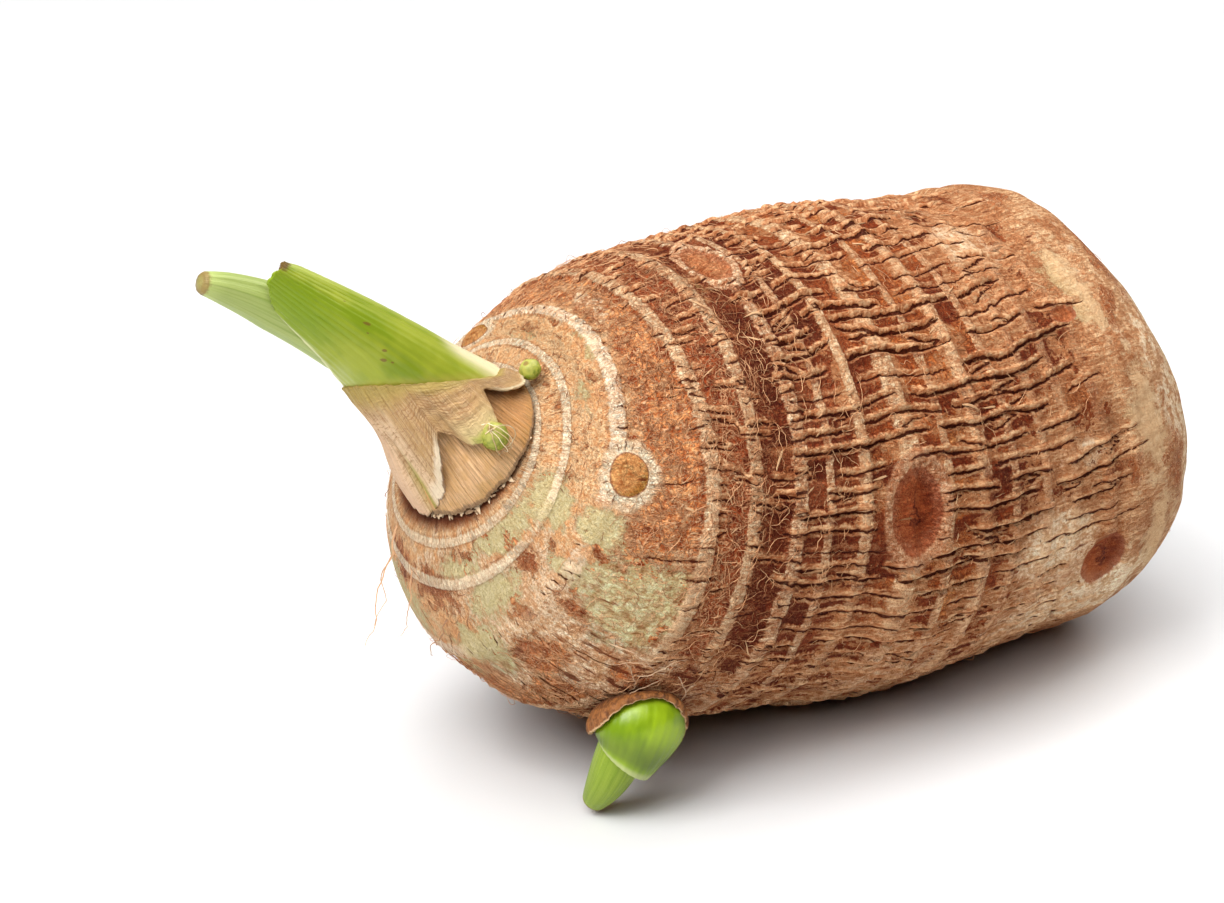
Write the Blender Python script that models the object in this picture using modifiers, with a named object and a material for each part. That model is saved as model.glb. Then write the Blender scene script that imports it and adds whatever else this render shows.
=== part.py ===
"""Taro corm lying on its side, with its husks, green shoots and two small buds.

Lengths are in millimetres up to the last step, which writes metres. +Z is up and the corm's
length runs along X, with the crown and its shoots toward -X and the root end toward +X.
"""
import math

import bmesh
import bpy
import numpy as np

MM = 0.001
COLLECTION = "taro_corm"
GAP = 0.35

# The corm is laid out from its own middle. This is the middle of the whole part's footprint
# there, shoots included, and the last step moves it to the origin.
FOOTPRINT_MIDDLE = (-22.17, 0.01, 0.0)

# The corm: places along its skin from the root end, each with the x and z of the middle
# of the section, its radius, and how far the section leans back, in degrees.
SECTIONS = np.array([
    (0.0, 88.5, 50.8, 0.0, -14.0),
    (16.0, 86.5, 50.3, 17.0, -15.0),
    (30.0, 81.5, 50.3, 32.0, -15.0),
    (43.0, 71.5, 50.8, 42.5, -12.0),
    (58.0, 60.0, 50.3, 48.0, -9.0),
    (80.0, 37.5, 50.0, 49.0, -6.0),
    (100.0, 15.5, 50.3, 51.0, -1.0),
    (118.0, -2.5, 50.8, 51.2, 2.0),
    (136.0, -20.5, 52.8, 49.0, 7.0),
    (154.0, -37.5, 54.0, 47.8, 12.0),
    (170.0, -52.5, 56.3, 45.4, 15.0),
    (184.0, -64.0, 58.3, 41.2, 18.0),
    (198.0, -74.5, 62.8, 33.0, 25.0),
    (212.0, -78.5, 67.1, 25.5, 33.0),
    (224.0, -82.0, 70.3, 16.0, 38.0),
    (236.0, -83.0, 72.8, 0.0, 38.0),
])
BODY_LENGTH = 236.0

# Leaf scars that ring the corm: place along, sway along, angle of the sway, height.
RINGS = (
    (20.0, 1.0, 40.0, 0.25), (32.0, 1.5, 80.0, 0.25), (44.0, 1.5, 110.0, 0.3),
    (55.0, 1.2, 20.0, 0.35), (65.0, 1.0, 60.0, 0.45), (74.0, 1.0, 30.0, 0.6),
    (83.0, 0.8, 70.0, 0.7), (91.0, 0.6, 40.0, 0.8), (100.0, 0.6, 10.0, 0.8),
    (108.0, 0.8, 30.0, 0.9), (117.0, 0.6, 60.0, 0.9), (127.0, 0.8, 20.0, 1.0),
    (138.0, 0.8, 0.0, 1.0), (147.0, 0.6, 30.0, 0.9), (155.0, 0.5, 0.0, 1.0),
    (166.0, 1.0, 0.0, 1.1), (178.5, 2.5, 0.0, 1.1), (197.0, 2.7, 115.0, 1.0),
    (213.0, 0.8, 20.0, 0.8), (221.0, 0.6, 0.0, 0.8),
)
RING_WIDTH = 1.7
ROW_SPACING = 3.9
CORM_AROUND = 84

# Broad swellings: place along, angle round, spread along, spread round, height.
LUMPS = (
    (62.0, 172.0, 20.0, 38.0, 2.6), (48.0, -12.0, 16.0, 35.0, 2.2),
    (92.0, 178.0, 26.0, 30.0, 0.8), (38.0, 235.0, 17.0, 26.0, 1.8),
    (20.0, 60.0, 12.0, 30.0, 1.0), (74.0, 290.0, 15.0, 22.0, 1.2),
    (168.0, 138.0, 7.0, 11.0, 1.2), (171.0, 262.0, 9.0, 13.0, 1.0),
)
# Resting buds: place along, angle round, radius, height.
BUDS = (
    (193.5, 69.0, 4.6, 1.5), (154.0, 112.0, 2.6, 0.9), (186.0, 205.0, 4.4, 1.4),
    (203.0, 318.0, 4.2, 1.3), (160.0, 246.0, 4.4, 1.3), (132.0, 214.0, 4.0, 1.2),
    (141.0, 318.0, 4.6, 1.3), (104.0, 262.0, 4.2, 1.1),
)
# Hollow scars with a raised rim: place along, angle round, half length, half width, depth.
SCARS = (
    (124.8, 83.0, 6.5, 10.5, 1.6), (155.5, 8.5, 5.8, 9.0, 0.8),
    (73.0, 113.0, 6.0, 8.0, 1.2), (88.0, 226.0, 5.5, 8.5, 1.2), (112.0, 303.0, 6.0, 9.5, 1.4),
)
RIM_HEIGHT = 0.6
WRINKLE_HEIGHT = 0.4
WRINKLE_ZONE = (66.0, 92.0, 172.0, 188.0)
ROLL_HEIGHT = 0.5
ROLL_ZONE = (5.0, 20.0, 60.0, 75.0)

# The main shoot: where its axis leaves the crown, where the dry husk gives way to green,
# and its tip.
SHOOT_FOOT = np.array((-79.6, 0.0, 75.5))
SHOOT_NECK = np.array((-90.0, 0.0, 85.1))
SHOOT_TIP = np.array((-120.3, 0.0, 111.9))
NECK_RADIUS = 10.0
MOUTH_RADIUS = 4.5
HUSK_TOP = 86.6
HUSK_RIM_ALONG = 224.6
LEAF_WALL = 0.9
HUSK_WALL = 0.7
LEAF_TIP = np.array((-135.3, 0.8, 114.6))
LEAF_RADIUS = 2.8

# The two small green buds beside the main shoot.
ROUND_BUD_PLACE = (218.8, 21.0)
LOW_BUD_MIDDLE = np.array((-84.6, -16.6, 78.0))
LOW_BUD_AXIS = np.array((-0.55, -0.35, 0.76))

# The side shoot under the crown end, from the skin down to the floor.
SIDE_ALONG = 170.0
SIDE_AROUND = 140.0
SIDE_HUSK_RADIUS = 7.9
SIDE_LIFT = 2.5
SIDE_SHEATH_RADIUS = 6.8
SIDE_BULGE = np.array((-63.3, -34.2, 18.4))
SIDE_BULGE_RADIUS = 9.5
SIDE_MOUTH = np.array((-65.4, -32.4, 12.6))
SIDE_MOUTH_RADIUS = 5.8
SIDE_LEAF_PATH = (
    np.array((-64.8, -32.8, 17.5)), np.array((-68.0, -32.0, 8.0)), np.array((-68.4, -26.7, 2.1)),
)


def curve_through(knots, values, x):
    """Smooth curve through given values, for numbers or arrays."""
    x = np.asarray(x, float)
    width = np.diff(knots)
    slope = np.diff(values) / width
    tangent = np.empty(len(values))
    tangent[1:-1] = (slope[:-1] * width[1:] + slope[1:] * width[:-1]) / (width[1:] + width[:-1])
    tangent[0] = slope[0] * 1.5 - tangent[1] * 0.5
    tangent[-1] = slope[-1] * 1.5 - tangent[-2] * 0.5
    i = np.clip(np.searchsorted(knots, x) - 1, 0, len(knots) - 2)
    t = (x - knots[i]) / width[i]
    start = (2 * t**3 - 3 * t**2 + 1) * values[i] + (t**3 - 2 * t**2 + t) * width[i] * tangent[i]
    end = (3 * t**2 - 2 * t**3) * values[i + 1] + (t**3 - t**2) * width[i] * tangent[i + 1]
    return start + end


def angle_gap(a, b):
    """Signed difference of two angles in degrees, between -180 and 180."""
    return (np.asarray(a) - b + 180.0) % 360.0 - 180.0


def unit(vector):
    """Vector of length one."""
    return vector / np.linalg.norm(vector)


def section(along):
    """Middle of a section, its radius and its lean in radians."""
    x, z, radius, lean = (curve_through(SECTIONS[:, 0], SECTIONS[:, k], along) for k in (1, 2, 3, 4))
    return x, z, np.maximum(radius, 0.0), np.radians(lean)


def skin(along, around, lift=0.0):
    """Point on the corm, without relief, at an angle from the top toward -Y."""
    x, z, radius, lean = section(along)
    turn = np.radians(around)
    reach = radius + lift
    return np.array((
        x + reach * np.cos(turn) * np.sin(lean),
        -reach * np.sin(turn),
        z + reach * np.cos(turn) * np.cos(lean),
    ))


def outward(along, around):
    """Direction square to the corm's skin."""
    step = 0.5
    p_along = skin(min(along + step, BODY_LENGTH), around) - skin(max(along - step, 0.0), around)
    p_around = skin(along, around + step) - skin(along, around - step)
    normal = unit(np.cross(p_around, p_along))
    middle = np.array((section(along)[0], 0.0, section(along)[1]))
    return normal if normal @ (skin(along, around) - middle) > 0 else -normal


def ring_sway(ring, around):
    """How far a leaf scar strays along the corm at an angle."""
    return ring[1] * math.cos(2.0 * math.radians(around - ring[2]))


def fade(x, zone):
    """1 inside a zone, falling to 0 over its two borders."""
    rise = min(max((x - zone[0]) / (zone[1] - zone[0]), 0.0), 1.0)
    fall = min(max((zone[3] - x) / (zone[3] - zone[2]), 0.0), 1.0)
    return rise * fall


def skin_distance(along, around, spot):
    """Distances along and round the skin from a spot, in millimetres."""
    radius = float(section(spot[0])[2])
    return along - spot[0], math.radians(float(angle_gap(around, spot[1]))) * radius


def relief(along, around, ring_weights):
    """Height of the skin above the plain body: scars, swellings, buds, wrinkles."""
    height = -0.35
    for ring, weight in zip(RINGS, ring_weights):
        height += ring[3] * weight
    for lump in LUMPS:
        reach = ((along - lump[0]) / lump[2]) ** 2
        reach += (float(angle_gap(around, lump[1])) / lump[3]) ** 2
        height += lump[4] * math.exp(-reach)
    for bud in BUDS:
        d_along, d_around = skin_distance(along, around, bud)
        away = math.hypot(d_along, d_around) / bud[2]
        height += bud[3] * math.exp(-(away**4)) + 0.5 * math.exp(-(((away - 1.5) / 0.4) ** 2))
    for scar in SCARS:
        d_along, d_around = skin_distance(along, around, scar)
        away = math.hypot(d_along / scar[2], d_around / scar[3])
        height += RIM_HEIGHT * math.exp(-(((away - 1.1) / 0.25) ** 2))
        height -= scar[4] * math.exp(-(away**4))
    turn = math.radians(around)
    drift = 0.9 * math.sin(along / 17.0) + 0.6 * math.sin(along / 7.3 + 2.0 * turn)
    wave = 0.6 * math.sin(17.0 * turn + drift) + 0.4 * math.sin(26.0 * turn - 1.3 * drift)
    height += WRINKLE_HEIGHT * wave * fade(along, WRINKLE_ZONE)
    roll = math.sin(along / 9.0 + 3.0 * turn) * math.sin(2.0 * turn + 1.0)
    height += ROLL_HEIGHT * roll * fade(along, ROLL_ZONE)
    return height


def mesh_object(name, bm, material):
    """Turn a mesh in millimetres into a named object of the collection, in metres."""
    bmesh.ops.recalc_face_normals(bm, faces=bm.faces)
    if bm.calc_volume(signed=True) < 0.0:
        bmesh.ops.reverse_faces(bm, faces=bm.faces)
    bmesh.ops.translate(bm, vec=[-place for place in FOOTPRINT_MIDDLE], verts=bm.verts)
    bmesh.ops.scale(bm, vec=(MM, MM, MM), verts=bm.verts)
    mesh = bpy.data.meshes.new(name)
    bm.to_mesh(mesh)
    bm.free()
    mesh.polygons.foreach_set("use_smooth", [True] * len(mesh.polygons))
    mesh.set_sharp_from_angle(angle=math.radians(50))
    mesh.materials.append(material)
    obj = bpy.data.objects.new(name, mesh)
    bpy.data.collections[COLLECTION].objects.link(obj)
    return obj


def plain_material(name, colour, roughness):
    """Principled material of one colour."""
    material = bpy.data.materials.new(name)
    material.use_nodes = True
    shader = material.node_tree.nodes["Principled BSDF"]
    shader.inputs["Base Color"].default_value = (*colour, 1.0)
    shader.inputs["Roughness"].default_value = roughness
    shader.inputs["Metallic"].default_value = 0.0
    material.diffuse_color = (*colour, 1.0)
    return material


def shaped_ball(name, around_count, along_count, shape, material):
    """Ball whose points are moved to shape(turn in degrees, share of the length)."""
    bm = bmesh.new()
    bmesh.ops.create_uvsphere(bm, u_segments=around_count, v_segments=along_count, radius=1.0)
    for vert in bm.verts:
        share = 0.5 + math.asin(max(-1.0, min(1.0, vert.co.z))) / math.pi
        turn = math.degrees(math.atan2(vert.co.y, vert.co.x))
        vert.co = shape(turn, share)
    return mesh_object(name, bm, material)


def shaped_sheet(name, columns, rows, shape, wall, material):
    """Sheet of a given wall whose points are moved to shape(u, v), with u and v from 0 to 1."""
    bm = bmesh.new()
    bmesh.ops.create_grid(bm, x_segments=columns, y_segments=rows, size=0.5)
    for vert in bm.verts:
        vert.co = shape(vert.co.x + 0.5, vert.co.y + 0.5)
    obj = mesh_object(name, bm, material)
    solid = obj.modifiers.new("wall", "SOLIDIFY")
    solid.thickness = wall * MM
    solid.offset = 0.0
    solid.use_even_offset = False
    return obj


def corm_rows():
    """Places of the mesh rows, with one row on the crest of every leaf scar."""
    marks = [0.0] + [ring[0] for ring in RINGS] + [BODY_LENGTH]
    rows = [0.0]
    for start, end in zip(marks[:-1], marks[1:]):
        count = max(3, round((end - start) / ROW_SPACING))
        rows += [start + (end - start) * k / count for k in range(1, count + 1)]
    return rows


def make_corm(material):
    """The corm itself, with its belly cut flat where it lies on the floor."""
    rows = corm_rows()
    places = np.array([ring[0] for ring in RINGS])

    def shape(turn, share):
        row = rows[round(share * (len(rows) - 1))]
        weights = np.exp(-(((row - places) / RING_WIDTH) ** 2))
        sways = [ring_sway(ring, turn) for ring in RINGS]
        calm = min(row, BODY_LENGTH - row) / 12.0
        along = row + float(np.interp(row, places, sways)) * min(calm, 1.0)
        along = min(max(along, 0.0), BODY_LENGTH)
        lift = relief(along, turn, weights) * min(calm * 2.0, 1.0)
        return skin(along, turn, lift if 0.0 < row < BODY_LENGTH else 0.0)

    bm = bmesh.new()
    bmesh.ops.create_uvsphere(bm, u_segments=CORM_AROUND, v_segments=len(rows) - 1, radius=1.0)
    for vert in bm.verts:
        share = 0.5 + math.asin(max(-1.0, min(1.0, vert.co.z))) / math.pi
        vert.co = shape(math.degrees(math.atan2(vert.co.y, vert.co.x)), share)
    cut_belly(bm)
    return mesh_object("corm", bm, material)


def cut_belly(bm):
    """Cut away what lies under the floor and close the cut with one flat face."""
    geometry = bm.verts[:] + bm.edges[:] + bm.faces[:]
    bmesh.ops.bisect_plane(
        bm, geom=geometry, dist=1e-4, plane_co=(0, 0, 0), plane_no=(0, 0, 1), clear_inner=True
    )
    border = [edge for edge in bm.edges if edge.is_boundary]
    bmesh.ops.edgeloop_fill(bm, edges=border)


def shoot_frame():
    """Axis of the main shoot and the direction of its upper side."""
    axis = unit(SHOOT_TIP - SHOOT_NECK)
    upper = unit(np.cross(np.array((0.0, -1.0, 0.0)), axis))
    return axis, upper if upper[2] > 0 else -upper


def shoot_point(reach, turn, radius):
    """Point round the main shoot: distance from its neck, angle from its upper side, radius."""
    axis, upper = shoot_frame()
    angle = math.radians(turn)
    side = upper * math.cos(angle) - np.array((0.0, 1.0, 0.0)) * math.sin(angle)
    return SHOOT_NECK + axis * reach + side * radius


def shoot_radius(reach):
    """Outer radius of the green sheath at a distance from the neck."""
    length = np.linalg.norm(SHOOT_TIP - SHOOT_NECK)
    share = reach / length
    belly = 0.5 * math.sin(math.pi * min(max(share, 0.0), 1.0))
    return NECK_RADIUS + (MOUTH_RADIUS - NECK_RADIUS) * share + belly


def level_reach(turn, height):
    """Distance from the neck at which the shoot's wall passes a height above the floor."""
    low, high = -30.0, 30.0
    for _ in range(30):
        reach = (low + high) / 2
        if shoot_point(reach, turn, shoot_radius(reach))[2] < height:
            low = reach
        else:
            high = reach
    return reach


def make_shoot_sheath(material):
    """Green sheath: a cone rolled round the inner leaf, open along its lower side."""
    length = float(np.linalg.norm(SHOOT_TIP - SHOOT_NECK))

    def shape(u, v):
        start_turn = -145.0 + 70.0 * v**1.5
        end_turn = 190.0 - 42.0 * v**2
        turn = start_turn + u * (end_turn - start_turn)
        start = max(level_reach(turn, HUSK_TOP - 1.5), -11.0)
        nib = 1.5 * math.cos(math.radians(turn - 20.0))
        reach = start + (length - 1.5 + nib - start) * v
        return shoot_point(reach, turn, shoot_radius(reach) - LEAF_WALL / 2)

    return shaped_sheet("shoot_sheath", 24, 11, shape, LEAF_WALL, material)


def make_shoot_leaf(material):
    """Young leaf rolled into a spear, coming out of the mouth of the sheath."""
    low = SHOOT_NECK + np.array((-1.5, 2.5, -0.5))
    bend = SHOOT_NECK + (SHOOT_TIP - SHOOT_NECK) * 0.85 + np.array((-2.6, 2.4, -0.4))

    def shape(turn, share):
        t = share
        middle = low * (1 - t) ** 2 + bend * 2 * t * (1 - t) + LEAF_TIP * t**2
        axis = unit((bend - low) * (1 - t) + (LEAF_TIP - bend) * t)
        upper = unit(np.cross(axis, np.array((0.0, 1.0, 0.0))))
        angle = math.radians(turn)
        radius = LEAF_RADIUS * min(1.0, (t * 9.0) ** 0.5) * min(1.0, ((1 - t) * 24.0) ** 0.4)
        radius *= 1.25 - 0.3 * t + 0.03 * math.cos(5.0 * angle)
        return middle + radius * (upper * math.cos(angle) - np.array((0.0, 1.0, 0.0)) * math.sin(angle))

    return shaped_ball("shoot_leaf", 14, 16, shape, material)


def husk_collar(turn):
    """Top of the dry husk on the shoot, level with the floor at one height."""
    reach = level_reach(turn, HUSK_TOP)
    return shoot_point(reach, turn, shoot_radius(reach) + GAP + HUSK_WALL / 2)


def husk_foot(turn, lift):
    """Point of the husks' lower rim, above the skin by a lift."""
    along = HUSK_RIM_ALONG - 2.2 * math.cos(math.radians(turn - 30.0))
    return skin(along, turn) + outward(along, turn) * lift


def make_husk_outer(material):
    """Dry outer husk from the rim of the crown up to the green, torn away at the front."""

    def shape(u, v):
        turn = 46.0 + u * 292.0
        foot = husk_foot(turn, 1.0)
        top = husk_collar(turn)
        torn = 0.6 * min(max((150.0 - turn) / 14.0, 0.0), 1.0) + 0.05 * math.sin(turn / 5.0)
        torn = min(max(torn, 0.0), 0.64)
        t = torn + (1.0 - torn) * v
        waist = 0.8 - 2.6 * max(0.0, math.cos(math.radians(turn - 200.0)))
        belly = waist * math.sin(math.pi * t) + 0.2 * math.sin(turn / 2.7) * (1 - t)
        middle = foot + (top - foot) * t
        axis, _ = shoot_frame()
        out = middle - SHOOT_FOOT
        out = unit(out - axis * (out @ axis))
        return middle + out * belly

    return shaped_sheet("crown_husk_outer", 44, 6, shape, HUSK_WALL, material)


def make_husk_inner(material):
    """Inner husk seen where the outer one is torn: a pleated fan from the rim to the shoot."""

    def shape(u, v):
        turn = 26.0 + u * 122.0
        foot = husk_foot(turn, 1.1)
        top = shoot_point(-12.0, turn, 7.2)
        middle = foot + (top - foot) * v
        pleat = 0.25 * math.sin(math.radians(turn) * 22.0) * (1 - 0.5 * v)
        lift = 1.5 * math.sin(math.pi * v) + pleat
        return middle + outward(HUSK_RIM_ALONG, turn) * lift * 0.6

    return shaped_sheet("crown_husk_inner", 36, 4, shape, HUSK_WALL, material)


def make_bud(name, middle, axis, radius, length, material):
    """Small bud: an egg on an axis with a blunt point."""
    side = unit(np.cross(axis, np.array((0.2, 0.9, 0.4))))
    third = np.cross(axis, side)

    def shape(turn, share):
        angle = math.radians(turn)
        reach = (share - 0.5) * length
        width = radius * math.sin(math.pi * share) ** 0.6 * (1.12 - 0.3 * share)
        return middle + axis * reach + width * (side * math.cos(angle) + third * math.sin(angle))

    return shaped_ball(name, 12, 8, shape, material)


def side_root():
    """Root of the side shoot on the skin, with the way out of it and the way to the crown."""
    root = skin(SIDE_ALONG, SIDE_AROUND)
    out = outward(SIDE_ALONG, SIDE_AROUND)
    ahead = unit(skin(SIDE_ALONG + 1.0, SIDE_AROUND) - root)
    return root, out, ahead


def side_foot(turn, radius, lift):
    """Point of a ring round the root of the side shoot, above the skin by a lift."""
    angle = math.radians(turn)
    along = SIDE_ALONG + radius * math.cos(angle)
    around = SIDE_AROUND + math.degrees(radius * math.sin(angle) / float(section(SIDE_ALONG)[2]))
    return skin(along, around) + outward(along, around) * lift


def side_ring(middle, axis, turn, radius):
    """Point of a ring in space that matches the rings round the root."""
    first = side_root()[2]
    first = unit(first - axis * (first @ axis))
    second = np.cross(axis, first)
    angle = math.radians(turn)
    return middle + radius * (first * math.cos(angle) + second * math.sin(angle))


def bow(start, pull, end, t):
    """Point on a curve from start to end, pulled toward a third point."""
    return start * (1 - t) ** 2 + pull * 2 * t * (1 - t) + end * t**2


def make_side_husk(material):
    """Orange-brown husk round the foot of the side shoot, with two lobes."""
    root, out, _ = side_root()

    def shape(u, v):
        turn = -228.0 + u * 352.0
        length = 2.0 + 2.4 * abs(math.sin(math.radians(turn + 51.0))) + 0.3 * math.sin(turn / 7.0)
        foot = side_foot(turn, SIDE_HUSK_RADIUS, SIDE_LIFT)
        pull = side_ring(root + out * (2.0 + 0.5 * length), out, turn, SIDE_HUSK_RADIUS + 2.4)
        end = side_ring(root + out * (2.0 + length), out, turn, SIDE_HUSK_RADIUS + 1.5)
        return bow(foot, pull, end, v)

    return shaped_sheet("side_husk", 24, 4, shape, HUSK_WALL, material)


def make_side_sheath(material):
    """Plump green sheath of the side shoot, open at its lower end."""
    out = side_root()[1]
    down = unit(SIDE_MOUTH - SIDE_BULGE)

    def shape(u, v):
        turn = -228.0 + u * 352.0
        foot = side_foot(turn, SIDE_SHEATH_RADIUS, SIDE_LIFT)
        pull = side_ring(SIDE_BULGE, out, turn, SIDE_BULGE_RADIUS)
        end = side_ring(SIDE_MOUTH, down, turn, SIDE_MOUTH_RADIUS)
        end[2] -= 0.9 * math.cos(math.radians(turn - 216.0))
        return bow(foot, pull, end, v)

    return shaped_sheet("side_sheath", 20, 7, shape, LEAF_WALL, material)


def make_side_leaf(material):
    """Young leaf of the side shoot, with its blunt tip on the floor."""
    start, pull, end = SIDE_LEAF_PATH

    def shape(turn, share):
        axis = unit((pull - start) * (1 - share) + (end - pull) * share)
        swell = min(1.0, (share * 8.0) ** 0.5) * min(1.0, ((1.0 - share) * 16.0) ** 0.4)
        radius = 3.9 * swell * (1.0 - 0.42 * share**3)
        return side_ring(bow(start, pull, end, share), axis, turn, radius)

    return shaped_ball("side_leaf", 12, 12, shape, material)


def clear_scene():
    """Remove whatever the new file holds."""
    for obj in list(bpy.data.objects):
        bpy.data.objects.remove(obj, do_unlink=True)


def build():
    """Make every piece."""
    clear_scene()
    collection = bpy.data.collections.new(COLLECTION)
    bpy.context.scene.collection.children.link(collection)
    corm_skin = plain_material("corm_skin", (0.38, 0.23, 0.14), 0.75)
    dry_husk = plain_material("dry_husk", (0.62, 0.42, 0.26), 0.65)
    brown_husk = plain_material("brown_husk", (0.42, 0.18, 0.06), 0.6)
    shoot_green = plain_material("shoot_green", (0.28, 0.45, 0.06), 0.4)
    leaf_green = plain_material("leaf_green", (0.36, 0.55, 0.16), 0.4)
    bud_green = plain_material("bud_green", (0.36, 0.42, 0.08), 0.5)
    make_corm(corm_skin)
    make_husk_outer(dry_husk)
    make_husk_inner(dry_husk)
    make_shoot_sheath(shoot_green)
    make_shoot_leaf(leaf_green)
    round_foot = skin(*ROUND_BUD_PLACE)
    round_out = outward(*ROUND_BUD_PLACE)
    make_bud("crown_bud", round_foot + round_out * 3.3, round_out, 2.2, 4.4, bud_green)
    make_bud("crown_bud_low", LOW_BUD_MIDDLE, unit(LOW_BUD_AXIS), 2.6, 5.8, bud_green)
    make_side_husk(brown_husk)
    make_side_sheath(shoot_green)
    make_side_leaf(leaf_green)


build()
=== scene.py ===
# %% [markdown]
# # A taro corm with its green shoots
#
# A taro corm is the swollen foot of the plant. It carries a pale ring for every leaf that it
# has dropped, brown fibrous skin between the rings, long cracks where the skin dried, and a
# few resting buds. At the crown a dry husk holds the young shoot. This lesson dresses the
# plain solids of the corm with that skin, with husks, shoots and fibres.

# %% The frame and its box
import math
from types import SimpleNamespace

import bpy
import numpy as np
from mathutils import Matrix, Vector, noise


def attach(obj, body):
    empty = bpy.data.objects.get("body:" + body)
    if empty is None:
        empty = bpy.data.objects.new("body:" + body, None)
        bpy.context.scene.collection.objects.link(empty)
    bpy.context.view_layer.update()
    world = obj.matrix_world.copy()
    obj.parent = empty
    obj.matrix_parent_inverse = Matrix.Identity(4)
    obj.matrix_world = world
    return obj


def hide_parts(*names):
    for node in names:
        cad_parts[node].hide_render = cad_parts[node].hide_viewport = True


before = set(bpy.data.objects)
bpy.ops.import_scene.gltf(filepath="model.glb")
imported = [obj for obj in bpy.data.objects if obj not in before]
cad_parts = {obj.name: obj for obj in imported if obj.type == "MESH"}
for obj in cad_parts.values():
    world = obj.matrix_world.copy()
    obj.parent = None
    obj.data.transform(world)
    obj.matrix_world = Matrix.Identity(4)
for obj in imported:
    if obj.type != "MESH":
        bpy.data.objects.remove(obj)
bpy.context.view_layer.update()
MM = 0.001
print("solids in the frame:", sorted(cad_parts))

# %% [markdown]
# ## The camera, the floor and the light
#
# The corm lies on a white surface between soft lights: the strongest stands on the left, a
# second one behind on the right, and weaker ones above. The floor turns white round the corm
# and the shadow under it stays dark. The camera looks down by 22 degrees from the crown's side.

# %% Camera
CAMERA_AT = (-0.33080, -0.43821, 0.27809)
CAMERA_TURN = (math.radians(68.0), 0.0, math.radians(-34.957))
LENS_MM = 85.0
SENSOR_MM = 36.0

bpy.ops.object.camera_add(location=CAMERA_AT, rotation=CAMERA_TURN)
camera = bpy.context.object
camera.name = "camera"
camera.data.lens = LENS_MM
camera.data.sensor_width = SENSOR_MM
camera.data.clip_start = 0.01
bpy.context.scene.camera = camera
print("camera at", CAMERA_AT)


# %% Floor and lights
def plain_material(name, colour, roughness, specular):
    """Principled material of one colour."""
    material = bpy.data.materials.new(name)
    material.use_nodes = True
    shader = material.node_tree.nodes["Principled BSDF"]
    shader.inputs["Base Color"].default_value = (*colour, 1.0)
    shader.inputs["Roughness"].default_value = roughness
    shader.inputs["Specular IOR Level"].default_value = specular
    return material


def soft_light(name, location, power):
    """Square soft light that faces the corm."""
    bpy.ops.object.light_add(type="AREA", location=location)
    light = bpy.context.object
    light.name = name
    light.data.size = LIGHT_SIZE
    light.data.energy = power
    aim = Vector(LIGHTS_FACE) - Vector(location)
    light.rotation_euler = aim.to_track_quat("-Z", "Y").to_euler()


# Name, location in metres and power in watts of each light.
LIGHTS = (
    ("left_light", (-1.45, -0.26, 1.66), 47.0), ("back_light", (1.45, 0.26, 1.66), 27.0),
    ("front_light", (-0.84, -1.21, 1.66), 16.0), ("top_front_light", (-0.43, -0.62, 2.10), 14.0),
    ("top_light", (-0.62, 0.43, 2.10), 17.0), ("top_back_light", (0.43, 0.62, 2.10), 10.0),
)
LIGHT_SIZE = 1.2
LIGHTS_FACE = (0.0, 0.0, 0.05)
FLOOR_SIZE = 5.0
FLOOR_DROP = 0.0002
FLOOR_WHITE = (0.74, 0.74, 0.74)

bpy.ops.mesh.primitive_plane_add(size=FLOOR_SIZE, location=(0.0, 0.0, -FLOOR_DROP))
floor = bpy.context.object
floor.name = "floor"
floor.data.materials.append(plain_material("floor_white", FLOOR_WHITE, 0.35, 0.3))

for light in LIGHTS:
    soft_light(*light)

world = bpy.data.worlds.new("studio")
bpy.context.scene.world = world
world.use_nodes = True
world.node_tree.nodes["Background"].inputs["Color"].default_value = (1.0, 1.0, 1.0, 1.0)
world.node_tree.nodes["Background"].inputs["Strength"].default_value = 0.01
bpy.context.scene.view_settings.view_transform = "Standard"


# %% [markdown]
# ## Writing materials as sums
#
# A skin like this is a long sum of masks: where is a ring, how far is the next crack, how
# green is this side. Nodes for that are hard to read when they are made one by one, so a
# small class wraps an output socket, and plus, minus, times and divided add the Math nodes.

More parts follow.
